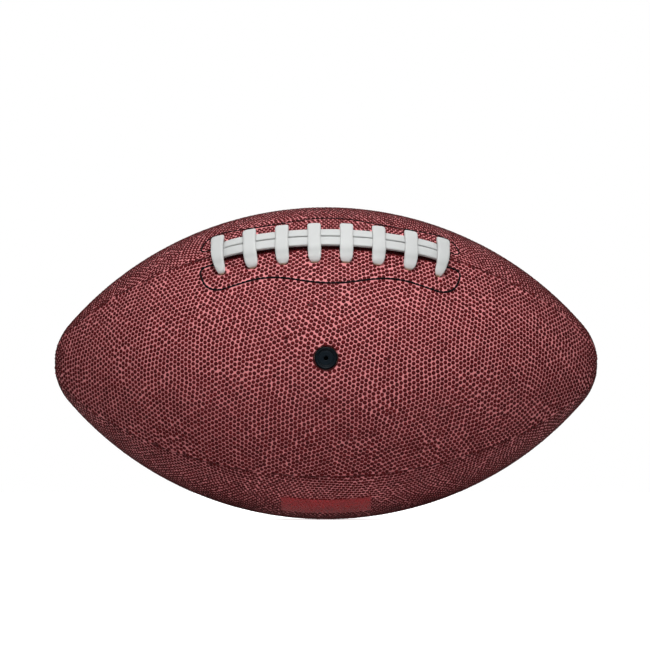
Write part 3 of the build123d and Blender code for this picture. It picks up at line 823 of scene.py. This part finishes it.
def lace_row_tree():
    """One crossing of the lace at each station of the seam, with its own shape at both ends of the row."""
    inputs = {"Crossing": "Object", "First Crossing": "Object", "Last Crossing": "Object", "Count": "Int",
              "Yaw": "Float", "Seed": "Int", "Vinyl": "Material"}
    sketch, given, result = nodes_tree("lace_row", inputs)
    names = ("Last Crossing", "First Crossing", "Crossing")
    shapes = sketch.joined(*[sketch.shape_of(given[name], True) for name in names])
    index = sketch.get("GeometryNodeInputIndex")
    first = sketch.math("COMPARE", index, 0.0, 0.5)
    last = sketch.math("COMPARE", index, sketch.math("SUBTRACT", given["Count"], 1.0), 0.5)
    turn = sketch.set_along(sketch.upright(), sketch.stored("along"))
    least_yaw = sketch.math("MULTIPLY", given["Yaw"], -1.0)
    yaw = sketch.random(least_yaw, given["Yaw"], given["Seed"])
    row = sketch.get("GeometryNodeInstanceOnPoints", {
        "Points": given["Geometry"], "Instance": shapes, "Pick Instance": True,
        "Instance Index": sketch.math("ADD", first, sketch.math("MULTIPLY", last, 2.0)),
        "Rotation": sketch.spun(turn, yaw)})
    return sketch.finish(sketch.realized(row), given["Vinyl"], result)


# Cover panels

def panel_rows():
    """Distances along and across the +Z panel, with the rows close together at its edges."""
    share = np.linspace(-1, 1, STATIONS_ALONG)
    runs = (HALF_RUN - TIP_STOP) * ((1 + TIP_CROWDING) * share - TIP_CROWDING * share**3)
    seams = seam_places(runs)
    fine = np.linspace(0, 1, STRIP_STEPS)
    strips = cover_points(runs[:, None], seams[:, None] * fine)
    steps = np.linalg.norm(np.diff(strips, axis=1), axis=-1)
    lengths = np.concatenate([np.zeros((len(runs), 1)), np.cumsum(steps, 1)], 1)
    return runs, seams, fine, lengths


def across_to_y(distances, seams, fine, lengths):
    """Y for distances across the panel from its middle line."""
    rows = zip(distances, seams, lengths)
    return np.array([np.sign(d) * np.interp(np.abs(d), run, fine * edge) for d, edge, run in rows])


def panel_skin():
    """Outer skin of the +Z panel with its edges rolled into the seams, and what its parts need."""
    runs, seams, fine, lengths = panel_rows()
    widths = lengths[:, -1:]
    narrow = np.minimum(1, 0.45 * widths / EDGE_ROWS[0])
    edge = widths - narrow * EDGE_ROWS
    middle = np.linspace(0, 1, STEPS_ACROSS)[:-1] * edge[:, :1]
    half = np.concatenate([middle, edge], 1)
    distances = np.concatenate([-half[:, :0:-1], half], 1)
    points = cover_points(runs[:, None], across_to_y(distances, seams, fine, lengths))
    normals = cover_normals(points)
    roll = np.minimum(EDGE_ROLL, 0.3 * widths)
    inside = np.clip(roll - (widths - np.abs(distances)), 0, roll)
    points = points - (roll - np.sqrt(roll**2 - inside**2))[..., None] * normals
    return runs, distances, points, (seams, fine, lengths)


def panel_pattern(name, skin, degrees):
    """Open skin of a panel that keeps its flat cut as a map."""
    runs, distances, points, _ = skin
    obj = make_object(name, turned(points, degrees).reshape(-1, 3), grid_faces(*distances.shape))
    mesh = obj.data
    flat = np.stack([np.repeat(runs, distances.shape[1]), distances.ravel()], -1)
    corners = np.zeros(len(mesh.loops), np.int32)
    mesh.loops.foreach_get("vertex_index", corners)
    cut = mesh.attributes.new("flat", "FLOAT2", "CORNER")
    cut.data.foreach_set("vector", flat[corners].astype(np.float32).ravel())
    normals = np.array([v.normal for v in mesh.vertices])
    middle = turned([0, 0, 1], degrees)
    if normals[len(normals) // 2] @ middle < 0:
        normals = -normals
    set_directions(mesh, "outwards", normals)
    return obj


def panel_shell(name, skin, degrees, lace_side):
    """Closed shell of a panel: the outer skin, turned-in edges and the inside."""
    runs, distances, points, cut = skin
    widths = np.abs(distances[:, :1])
    wall = np.minimum(PANEL_THICKNESS, 0.25 * widths)
    flap = np.minimum(SEAM_DEPTH - EDGE_ROLL, 0.6 * widths)
    reach = widths - 1.3 * wall
    inner_distances = np.linspace(1, -1, INNER_STEPS) * reach
    inner = cover_points(runs[:, None], across_to_y(inner_distances, *cut))
    inner = inner - wall[..., None] * cover_normals(inner)
    flaps = {}
    for side, end in ((1, points[:, -1]), (-1, points[:, 0])):
        down = np.array([0, -side, -1]) / math.sqrt(2)
        inwards = np.array([0, -side, 1]) / math.sqrt(2)
        foot = end + flap * down
        flaps[side] = np.stack([foot, foot + wall * inwards], 1)
    rings = np.concatenate([points, flaps[1], inner, flaps[-1][:, ::-1]], 1)
    # Painted shade: the seam crease and the turned-in edges are darkened through the edge number, and the
    # inside is left clear.
    edge = np.ones(rings.shape[:2])
    from_seam = widths - np.abs(distances)
    edge[:, :points.shape[1]] = np.clip(1.15 - from_seam / EDGE_SHADE, 0, 1)
    # Painted shadow of the strands: a dark band beside the slit, under the lacing.
    if lace_side:
        under_lace = np.abs(points[..., 0] - LACING_SHIFT) < LACING_HALF
        beside_slit = under_lace * (lace_side * distances < 0)
        strand_shadow = np.clip((LACE_SHADE - from_seam) / LACE_SHADE_FADE, 0, 1) * beside_slit
        edge[:, :points.shape[1]] = np.maximum(edge[:, :points.shape[1]], 1.7 * strand_shadow)
    edge[:, points.shape[1] + 2:-2] = 0
    obj = make_object(name, *loft(turned(rings, degrees)))
    set_numbers(obj.data, "edge", edge)
    return close_up(obj)


def slot_ring(length, width, steps=6):
    """Outline of a slot with round ends, along X."""
    turns = np.linspace(-math.pi / 2, math.pi / 2, steps + 1)
    radius = width / 2
    right = [((length - width) / 2 + radius * math.cos(a), radius * math.sin(a)) for a in turns]
    return right + [(-x, -y) for x, y in right]


def lace_hole_rings(side, heights):
    """Rings of each lace hole on one side of the seam, at heights above the cover, on the ball."""
    holes = []
    for i, x in enumerate(STATIONS):
        place, along, up = station(x)
        drop = float(seam_height(x, HOLE_REACH)) - place.z
        lean_in = LEAN_IN * ((i == 0) - (i == LACE_COUNT - 1)) if side < 0 else 0
        middle = place + up * drop + along * lean_in + Vector((0, side * HOLE_REACH, 0))
        rings = []
        for height in heights:
            ring = [middle + along * a + Vector((0, v, 0)) + up * height for a, v in slot_ring(*HOLE_SIZE)]
            rings.append(turned(np.array(ring), LACE_SEAM_TURN))
        holes.append(rings)
    return holes


def valve_hole_ring(radius, height, sides=48):
    """Slightly uneven ring round the valve, on the front panel."""
    ring = []
    for i in range(sides):
        angle = 2 * math.pi * i / sides
        uneven = radius + 0.10 * MM * math.sin(3 * angle + 0.4) + 0.07 * MM * math.sin(7 * angle)
        ring.append((uneven * math.cos(angle), uneven * math.sin(angle), height))
    return turned(np.array(ring), PANEL_TURNS["front"])


def cut_holes(obj, cutters):
    """Cuts closed shapes out of a shell."""
    points, faces = [], []
    for ring_points, ring_faces in cutters:
        faces += [tuple(len(points) + i for i in face) for face in ring_faces]
        points += ring_points.tolist()
    tool = close_up(make_object("hole_cutter", points, faces))
    modifier = obj.modifiers.new("holes", "BOOLEAN")
    modifier.object = tool
    modifier.operation = "DIFFERENCE"
    modifier.solver = "EXACT"
    settle(obj)
    remove(tool)
    obj.data.shade_smooth()
    obj.data.set_sharp_from_angle(angle=math.radians(40))
    return obj


def filleted(corners, radii, step):
    """Points along straight runs joined by tangent arcs."""
    corners = [np.array(c, float) for c in corners]
    path = [corners[0]]
    for before, corner, after, radius in zip(corners, corners[1:], corners[2:], radii):
        back = (before - corner) / np.linalg.norm(before - corner)
        ahead = (after - corner) / np.linalg.norm(after - corner)
        half = math.acos(np.clip(back @ ahead, -1, 1)) / 2
        reach = radius / math.tan(half)
        start, end = corner + back * reach, corner + ahead * reach
        bisector = (back + ahead) / np.linalg.norm(back + ahead)
        centre = corner + bisector * radius / math.sin(half)
        turn = math.pi - 2 * half
        count = max(3, int(radius * turn / step))
        first, last = start - centre, end - centre
        for i in range(count + 1):
            share = i / count
            blend = (math.sin((1 - share) * turn) * first + math.sin(share * turn) * last) / math.sin(turn)
            path.append(centre + blend)
    path.append(corners[-1])
    return np.array(path)


def outline_plan():
    """Stitch line beside the lacing, seen square to the seam, from its middle."""
    half = [OUTLINE_START, OUTLINE_END, OUTLINE_LOBE, OUTLINE_WAIST]
    other = [(-x, y) for x, y in reversed(half)]
    return filleted([*half, OUTLINE_CREST, *other], OUTLINE_BENDS, 1.5 * MM)


def outline_line(side, rise):
    """Stitch line on one side of the seam, on the ball, with outward directions."""
    plan = outline_plan()
    x = plan[:, 0] + LACING_SHIFT
    y = side * plan[:, 1]
    normals = seam_normal(x, y)
    points = np.stack([x, y, seam_height(x, y)], -1) + rise * normals
    return turned(points, LACE_SEAM_TURN), turned(normals, LACE_SEAM_TURN)


def line_object(name, points):
    """Path of edges through points."""
    return make_object(name, points, (), [(i, i + 1) for i in range(len(points) - 1)])


def bare_lines(panel):
    """Edges round which no pebble stands on a panel: holes and stitch lines."""
    points, edges = [], []

    def add(line, closed):
        start = len(points)
        points.extend(np.asarray(line).tolist())
        edges.extend((start + i, start + i + 1) for i in range(len(line) - 1))
        if closed:
            edges.append((start + len(line) - 1, start))

    if panel in SEAM_SIDES:
        for rings in lace_hole_rings(SEAM_SIDES[panel], (0.0,)):
            add(rings[0], True)
        add(outline_line(SEAM_SIDES[panel], 0.0)[0], False)
    if panel == "front":
        for radius in BARE_RINGS:
            add(valve_hole_ring(radius, WAIST_RADIUS), True)
    if not points:
        add([(0, 0, 0), (MM, 0, 0)], False)
    return make_object("bare_lines", points, (), edges)


def pebble_dome():
    """One pebble: a low dome one unit wide and high, marked from foot to crown."""
    rings = [(1.0, -0.3), (0.68, 0.7)]
    points, crown = [], []
    for radius, height in rings:
        points += circle(radius, height, PEBBLE_SIDES)
        crown += [max(0.0, height)] * PEBBLE_SIDES
    points.append((0, 0, 1.0))
    crown.append(1.0)
    faces = [tuple(reversed(range(PEBBLE_SIDES)))]
    for i in range(PEBBLE_SIDES):
        k = (i + 1) % PEBBLE_SIDES
        faces.append((i, k, PEBBLE_SIDES + k, PEBBLE_SIDES + i))
        faces.append((PEBBLE_SIDES + i, PEBBLE_SIDES + k, 2 * PEBBLE_SIDES))
    obj = make_object("pebble_dome", points, faces)
    set_numbers(obj.data, "crown", crown)
    return obj


def make_panels():
    """The four cover panels with their pebbles."""
    skin = panel_skin()
    tree = pebble_tree()
    dome = pebble_dome()
    for seed, (panel, degrees) in enumerate(PANEL_TURNS.items(), 1):
        shell = panel_shell(f"cover_{panel}", skin, degrees, SEAM_SIDES.get(panel, 0))
        cutters = []
        if panel in SEAM_SIDES:
            cutters += [loft(rings) for rings in lace_hole_rings(SEAM_SIDES[panel], HOLE_CUT)]
        if panel == "front":
            heights = (VALVE_FOOT, WAIST_RADIUS + 3 * MM)
            cutters.append(loft([valve_hole_ring(VALVE_RADIUS + VALVE_GAP, h) for h in heights]))
        if cutters:
            cut_holes(shell, cutters)
        pattern = panel_pattern("panel_pattern", skin, degrees)
        bare = bare_lines(panel)
        grow(shell, tree, **{
            "Pattern": pattern, "Bare": bare, "Dome": dome, "Pitch": PEBBLE_PITCH,
            "Wander": PEBBLE_WANDER, "Jitter": PEBBLE_JITTER, "Radius": PEBBLE_RADIUS,
            "Height": PEBBLE_HEIGHT, "Margin": PEBBLE_MARGIN, "Sheet Length": SHEET_LENGTH,
            "Sheet Width": SHEET_WIDTH, "Turn": math.radians(PEBBLE_TURNS[panel]),
            "Apart": PEBBLE_APART, "Rounds": PEBBLE_ROUNDS, "Seed": seed, "Leather": LEATHER})
        remove(pattern, bare)
        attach(shell, "ball")
        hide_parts(f"panel_{panel}")
    remove(dome)


# Lacing

def smooth_path(points, steps):
    """Points along a cubic B-spline from the first to the last of a few points."""
    points = np.asarray(points, float)
    ends = np.concatenate([[2 * points[0] - points[1]], points, [2 * points[-1] - points[-2]]])
    path = []
    for t in np.linspace(0, len(points) - 1, steps):
        i = min(int(t), len(points) - 2)
        u = t - i
        weights = [(1 - u) ** 3, 3 * u**3 - 6 * u**2 + 4, -3 * u**3 + 3 * u**2 + 3 * u + 1, u**3]
        path.append(np.array(weights) / 6 @ ends[i:i + 4])
    return np.array(path)


def lace_section(width, thickness, sides=16, power=0.42):
    """Flat section of lace with well rounded edges."""
    ring = []
    for i in range(sides):
        angle = 2 * math.pi * (i + 0.5) / sides
        c, s = math.cos(angle), math.sin(angle)
        across = math.copysign(abs(c) ** power, c) * width / 2
        through = math.copysign(abs(s) ** power, s) * thickness / 2
        ring.append((across, through))
    return ring


def crossing_object(name, lean_in):
    """One crossing, with X along the seam, Y across it and Z outwards; an end one leans in at its front."""
    drop = CROSSING_DROP
    knee, shoulder = HOLE_REACH + 0.35 * MM, 7.2 * MM
    half = [(knee, -drop - 5.2 * MM), (knee, -drop - 2.2 * MM), (knee, -drop + 0.1 * MM),
            (HOLE_REACH - 0.3 * MM, 1.0 * MM), (9.9 * MM, 3.35 * MM), (shoulder, 4.75 * MM),
            (shoulder / 2, 5.0 * MM)]
    path = smooth_path([(-v, h) for v, h in half] + [(0, CROWN)] + half[::-1], 61)
    tangents = np.gradient(path, axis=0)
    tangents /= np.linalg.norm(tangents, axis=1)[:, None]
    rings, hole_shade, bend = [], [], []
    for (v, h), (tv, th) in zip(path, tangents):
        if v > 0:
            depth = np.clip((v - 7 * MM) / (knee - 7 * MM), 0, 1)
        else:
            depth = np.clip((2.2 * MM - h) / (2.5 * MM + drop), 0, 1) if v < -shoulder else 0.0
        finger = math.sqrt(1 - (0.95 * depth) ** 2)
        front = np.clip(-v / HOLE_REACH, 0, 1) ** 1.6
        taper = 1 - 0.26 * front if lean_in else 1.0
        width = LACE_WIDTH * (0.12 + 0.88 * finger) * taper * (1 - 0.03 * math.cos(math.pi * v / shoulder))
        thickness = LACE_THICKNESS * (1 - 0.1 * depth)
        shift = lean_in * front
        ring = [(shift + a, v - b * th, h + b * tv) for a, b in lace_section(width, thickness)]
        rings.append(ring)
        # Painted shade and warm reflected light where the lace dips into its hole.
        dip_shade = np.clip((MM - h) / (1.3 * MM + drop), 0, 1) if abs(v) > shoulder else 0.0
        hole_shade += [dip_shade] * len(ring)
        # Painted light: the front bend, which faces down, is marked for whitening.
        bend += [np.clip((-v - 4 * MM) / (HOLE_REACH - 4 * MM), 0, 1)] * len(ring)
    obj = make_object(name, *loft(rings))
    set_numbers(obj.data, "hole_shade", hole_shade)
    set_numbers(obj.data, "bend", bend)
    return close_up(obj, 60)


def strand_object(name, side):
    """Long strand beside the seam, turned down into the slit at both ends."""
    first, last = STATIONS[0], STATIONS[-1]
    ends = [(-0.8 * MM, -6 * MM), (-0.7 * MM, -2 * MM), (-0.2 * MM, 0.9 * MM), (1.9 * MM, 2.1 * MM)]
    inner = np.linspace(first + 7 * MM, last - 7 * MM, 12)
    control = [(first + a, h) for a, h in ends] + [(x, STRAND_RISE) for x in inner]
    control += [(last - a, h) for a, h in reversed(ends)]
    rings = []
    path = smooth_path(control, 120)
    tangents = np.gradient(path, axis=0)
    for (x, h), (tx, th) in zip(path, tangents):
        y = side * STRAND_PLACE + STRAND_SHIFT
        normal = Vector(seam_normal(np.array(x), np.array(y)))
        _, along, _ = station(x)
        across = normal.cross(along).normalized()
        tilt = math.atan2(th, tx)
        through = normal * math.cos(tilt) - along * math.sin(tilt)
        middle = Vector((x, y, float(seam_height(x, y)))) + normal * h
        ring = [middle + across * a + through * b for a, b in lace_section(STRAND_WIDTH, STRAND_THICKNESS)]
        rings.append(turned(np.array(ring), LACE_SEAM_TURN))
    obj = close_up(make_object(name, *loft(rings)), 60)
    obj.data.materials.append(VINYL)
    return obj


def make_lacing():
    """Crossings and long strands of the lace."""
    stations = [station(x) for x in STATIONS]
    places = turned([p for p, _, _ in stations], LACE_SEAM_TURN)
    row = make_object("lace_crossings", places, ())
    set_directions(row.data, "outwards", turned([up for _, _, up in stations], LACE_SEAM_TURN))
    set_directions(row.data, "along", turned([along for _, along, _ in stations], LACE_SEAM_TURN))
    middle = crossing_object("crossing", 0.0)
    first = crossing_object("first_crossing", LEAN_IN)
    last = crossing_object("last_crossing", -LEAN_IN)
    grow(row, lace_row_tree(), **{
        "Crossing": middle, "First Crossing": first, "Last Crossing": last, "Count": LACE_COUNT,
        "Yaw": CROSSING_YAW, "Seed": 5, "Vinyl": VINYL})
    remove(middle, first, last)
    strands = [strand_object(f"lace_strand_{name}", side) for name, side in SEAM_SIDES.items()]
    for piece in (row, *strands):
        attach(piece, "ball")
        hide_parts("lace")


# Stitches

def stitch_object():
    """One stitch a unit long, wide and high, that dips at both ends."""
    rings = []
    for t in np.linspace(-1, 1, 7):
        swell = 0.35 + 0.65 * math.sqrt(max(0.0, 1 - t**2))
        lift = 0.42 * (1 - t**2) - 0.32
        angles = [2 * math.pi * i / 6 for i in range(6)]
        rings.append([(t / 2, 0.5 * swell * math.cos(a), lift + 0.5 * swell * math.sin(a)) for a in angles])
    return close_up(make_object("stitch", *loft(rings)), 80)


def make_stitches():
    """Black stitch lines round the lacing, and what shows of the seam threads."""
    tree = stitch_tree()
    stitch = stitch_object()
    for name, side in SEAM_SIDES.items():
        points, normals = outline_line(side, OUTLINE_RISE)
        line = line_object(f"outline_stitch_{name}", points)
        set_directions(line.data, "outwards", normals)
        thread = OUTLINE_THREADS[name]
        size = (OUTLINE_PITCH * 1.25, thread, thread * 0.8)
        grow(line, tree, Stitch=stitch, Pitch=OUTLINE_PITCH, Size=size, Spread=0.06, Seed=3,
             Thread=BLACK_THREAD)
        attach(line, "ball")
        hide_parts(f"facing_stitch_{name}")
    slit = LACING_HALF + SLIT_MARGIN
    seam_end = HALF_LENGTH - SEAM_END_MARGIN
    seams = {"lace_left": (LACE_SEAM_TURN, -seam_end, LACING_SHIFT - slit),
             "lace_right": (LACE_SEAM_TURN, LACING_SHIFT + slit, seam_end)}
    seams.update({name: (turn, -seam_end, seam_end) for name, turn in SEAM_TURNS.items()})
    for seed, (name, (turn, start, end)) in enumerate(seams.items(), 11):
        x = np.linspace(start, end, 60)
        up = np.stack([lean(x), 0 * x, np.sqrt(1 - lean(x) ** 2)], -1)
        points = np.stack([x, 0 * x, seam_height(x)], -1) - SEAM_STITCH_DEPTH * up
        line = line_object(f"seam_stitches_{name}", turned(points, turn))
        set_directions(line.data, "outwards", turned(up, turn))
        size = (SEAM_STITCH_LENGTH, SEAM_THREAD, SEAM_THREAD)
        grow(line, tree, Stitch=stitch, Pitch=SEAM_STITCH_PITCH, Size=size, Spread=0.35, Seed=seed,
             Thread=PALE_THREAD)
        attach(line, "ball")
    remove(stitch)


# Valve

def arc(centre, radius, start, end, steps):
    """Points of an arc in a profile, by angles in degrees."""
    angles = np.radians(np.linspace(start, end, steps))
    return [(centre[0] + radius * math.cos(a), centre[1] + radius * math.sin(a)) for a in angles]


def valve_piece(name, profile, material, body, node):
    """Round piece of the valve, spun about the front panel's middle."""
    points, faces = lathe(profile, 64)
    obj = close_up(make_object(name, turned(points, PANEL_TURNS["front"]), faces), 50)
    obj.data.materials.append(material)
    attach(obj, body)
    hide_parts(node)
    return obj


def make_valve():
    """Rubber housing with its rim, and the core with the needle hole."""
    rim = 0.55 * MM
    bead = (VALVE_RADIUS - rim, VALVE_RIM - rim)
    head_seat = CORE_TOP - 1.25 * MM
    bore, head_bore = CORE_RADIUS + 0.05 * MM, CORE_HEAD_RADIUS + 0.05 * MM
    housing = [(bore, VALVE_FOOT + 3 * MM), (bore, head_seat)]
    housing += [(head_bore, head_seat), (head_bore, CORE_TOP - 0.06 * MM)]
    housing += [(CORE_HEAD_RADIUS + 0.12 * MM, CORE_TOP), (bead[0] - rim - 0.12 * MM, CORE_TOP + 0.02 * MM)]
    housing += arc(bead, rim, 180, 0, 10)
    housing += [(VALVE_RADIUS, VALVE_FOOT + 1.2 * MM), (VALVE_RADIUS - 1.2 * MM, VALVE_FOOT)]
    housing += [(0.8 * MM, VALVE_FOOT), (0.8 * MM, VALVE_FOOT + 3 * MM)]
    valve_piece("valve_boot", housing, VALVE_RUBBER, "ball", "valve_housing")
    foot = CORE_TOP - CORE_LENGTH
    neck = CORE_TOP - 1.2 * MM
    core = [(0, CORE_TOP - NEEDLE_DEPTH), (NEEDLE_RADIUS, CORE_TOP - NEEDLE_DEPTH)]
    core += arc((NEEDLE_RADIUS + 0.3 * MM, CORE_TOP - 0.3 * MM), 0.3 * MM, 180, 90, 5)
    core += [(1.9 * MM, CORE_TOP), (2.0 * MM, CORE_TOP - 0.12 * MM), (2.25 * MM, CORE_TOP - 0.12 * MM)]
    core += [(2.35 * MM, CORE_TOP)]
    core += arc((CORE_HEAD_RADIUS - 0.25 * MM, CORE_TOP - 0.25 * MM), 0.25 * MM, 90, 0, 5)
    core += [(CORE_HEAD_RADIUS, neck), (CORE_RADIUS, neck), (CORE_RADIUS, foot + 0.75 * MM)]
    core += [(CORE_RADIUS - 0.75 * MM, foot), (0, foot)]
    valve_piece("valve_plug_core", core, CORE_RUBBER, "valve_plug", "valve_core")


# Label film

def make_label():
    """Thin film over the pebbles of the bottom panel."""
    columns, rows = LABEL_GRID
    length, width = LABEL_SIZE
    x = np.linspace(-length / 2, length / 2, columns)
    y = np.linspace(-width / 2, width / 2, rows) + LABEL_PLACE
    grid_x, grid_y = np.meshgrid(x, y, indexing="ij")
    z = np.sqrt(spin_radius(grid_x) ** 2 - grid_y**2) - AXIS_OFFSET
    points = np.stack([grid_x, grid_y, z], -1)
    points = points + LABEL_RISE * cover_normals(points)
    points = turned(points, PANEL_TURNS["bottom"]).reshape(-1, 3)
    obj = make_object("label_sheet", points, grid_faces(columns, rows))
    wall = obj.modifiers.new("film", "SOLIDIFY")
    wall.thickness = LABEL_THICKNESS
    wall.offset = 0
    settle(obj)
    close_up(obj)
    obj.data.materials.append(LABEL_FILM)
    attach(obj, "ball")
    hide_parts("label_film")


# Pieces that stay as they are in the frame

def dress_inside():
    """Finishes for the pieces inside the ball."""
    finishes = {"lining": LINING_CLOTH, "seam_thread": PALE_THREAD, "lace_facing": FACING_CLOTH,
                "lace_tongue": TONGUE_FELT, "bladder": BLADDER_RUBBER}
    for name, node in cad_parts.items():
        for start, material in finishes.items():
            if name.startswith(start):
                node.data.materials.clear()
                node.data.materials.append(material)


# Stage, light and camera

CAMERA_DISTANCE = 2050 * MM
CAMERA_RISE = math.radians(-1.9)
CAMERA_LENS = 213.3
IMAGE_SIZE = 650
BALL_PIXEL = (326.0, 363.3)


def make_stage():
    """Pale round floor under the ball."""
    floor = -WAIST_RADIUS - PEBBLE_HEIGHT - FLOOR_GAP
    radii = [0.0, 0.3, 0.8, 2.0, 6.0, 30.0]
    sides = 64
    points, faces = [], []
    for radius in radii:
        points += circle(radius, floor, sides)
    for ring in range(len(radii) - 1):
        for i in range(sides):
            k = (i + 1) % sides
            faces.append((ring * sides + i, (ring + 1) * sides + i, (ring + 1) * sides + k, ring * sides + k))
    obj = close_up(make_object("floor", points, faces))
    obj.data.materials.append(PAPER)


def soft_box(name, place, target, size, power, spread=180):
    """Large soft light that looks at a point, with its beam kept within an angle."""
    light = bpy.data.lights.new(name, "AREA")
    light.shape = "RECTANGLE"
    light.size, light.size_y = size
    light.energy = power
    light.spread = math.radians(spread)
    obj = bpy.data.objects.new(name, light)
    obj.location = place
    obj.rotation_euler = (Vector(target) - Vector(place)).to_track_quat("-Z", "Y").to_euler()
    bpy.context.scene.collection.objects.link(obj)


def make_light():
    """Soft box close to the front of the ball, a weaker one behind it, and a little light all round."""
    soft_box("front_box", (0, -0.43, 0.43), (0, 0, -0.005), size=(0.22, 0.24), power=0.335, spread=54)
    soft_box("back_box", (0, 1.1, 0.35), (0, 0, 0), size=(0.7, 0.5), power=2.6)
    world = bpy.data.worlds.new("studio")
    world.use_nodes = True
    sketch = Sketch(world.node_tree)
    seen = sketch.add("ShaderNodeLightPath").outputs["Is Camera Ray"]
    direction = sketch.add("ShaderNodeTexCoord").outputs["Generated"]
    height = sketch.add("ShaderNodeSeparateXYZ", {0: direction}).outputs["Z"]
    ceiling = sketch.get("ShaderNodeMapRange", {
        "Value": height, "From Min": 0.2, "From Max": 1.0, "To Min": 0.06, "To Max": 0.78})
    strength = sketch.math("MAXIMUM", seen, ceiling)
    background = world.node_tree.nodes["Background"]
    background.inputs["Color"].default_value = (1, 1, 1, 1)
    world.node_tree.links.new(strength, background.inputs["Strength"])
    bpy.context.scene.world = world


def make_camera():
    """Camera at the photograph's place, with its framing."""
    camera = bpy.data.cameras.new("camera")
    camera.lens = CAMERA_LENS
    camera.shift_x = (IMAGE_SIZE / 2 - BALL_PIXEL[0]) / IMAGE_SIZE
    camera.shift_y = (BALL_PIXEL[1] - IMAGE_SIZE / 2) / IMAGE_SIZE
    camera.clip_end = 50
    obj = bpy.data.objects.new("camera", camera)
    obj.location = (0, -CAMERA_DISTANCE * math.cos(CAMERA_RISE), CAMERA_DISTANCE * math.sin(CAMERA_RISE))
    obj.rotation_euler = (-obj.location).to_track_quat("-Z", "Y").to_euler()
    bpy.context.scene.collection.objects.link(obj)
    bpy.context.scene.camera = obj
    bpy.context.scene.view_settings.view_transform = "Standard"


make_panels()
make_lacing()
make_stitches()
make_valve()
make_label()
dress_inside()
make_stage()
make_light()
make_camera()
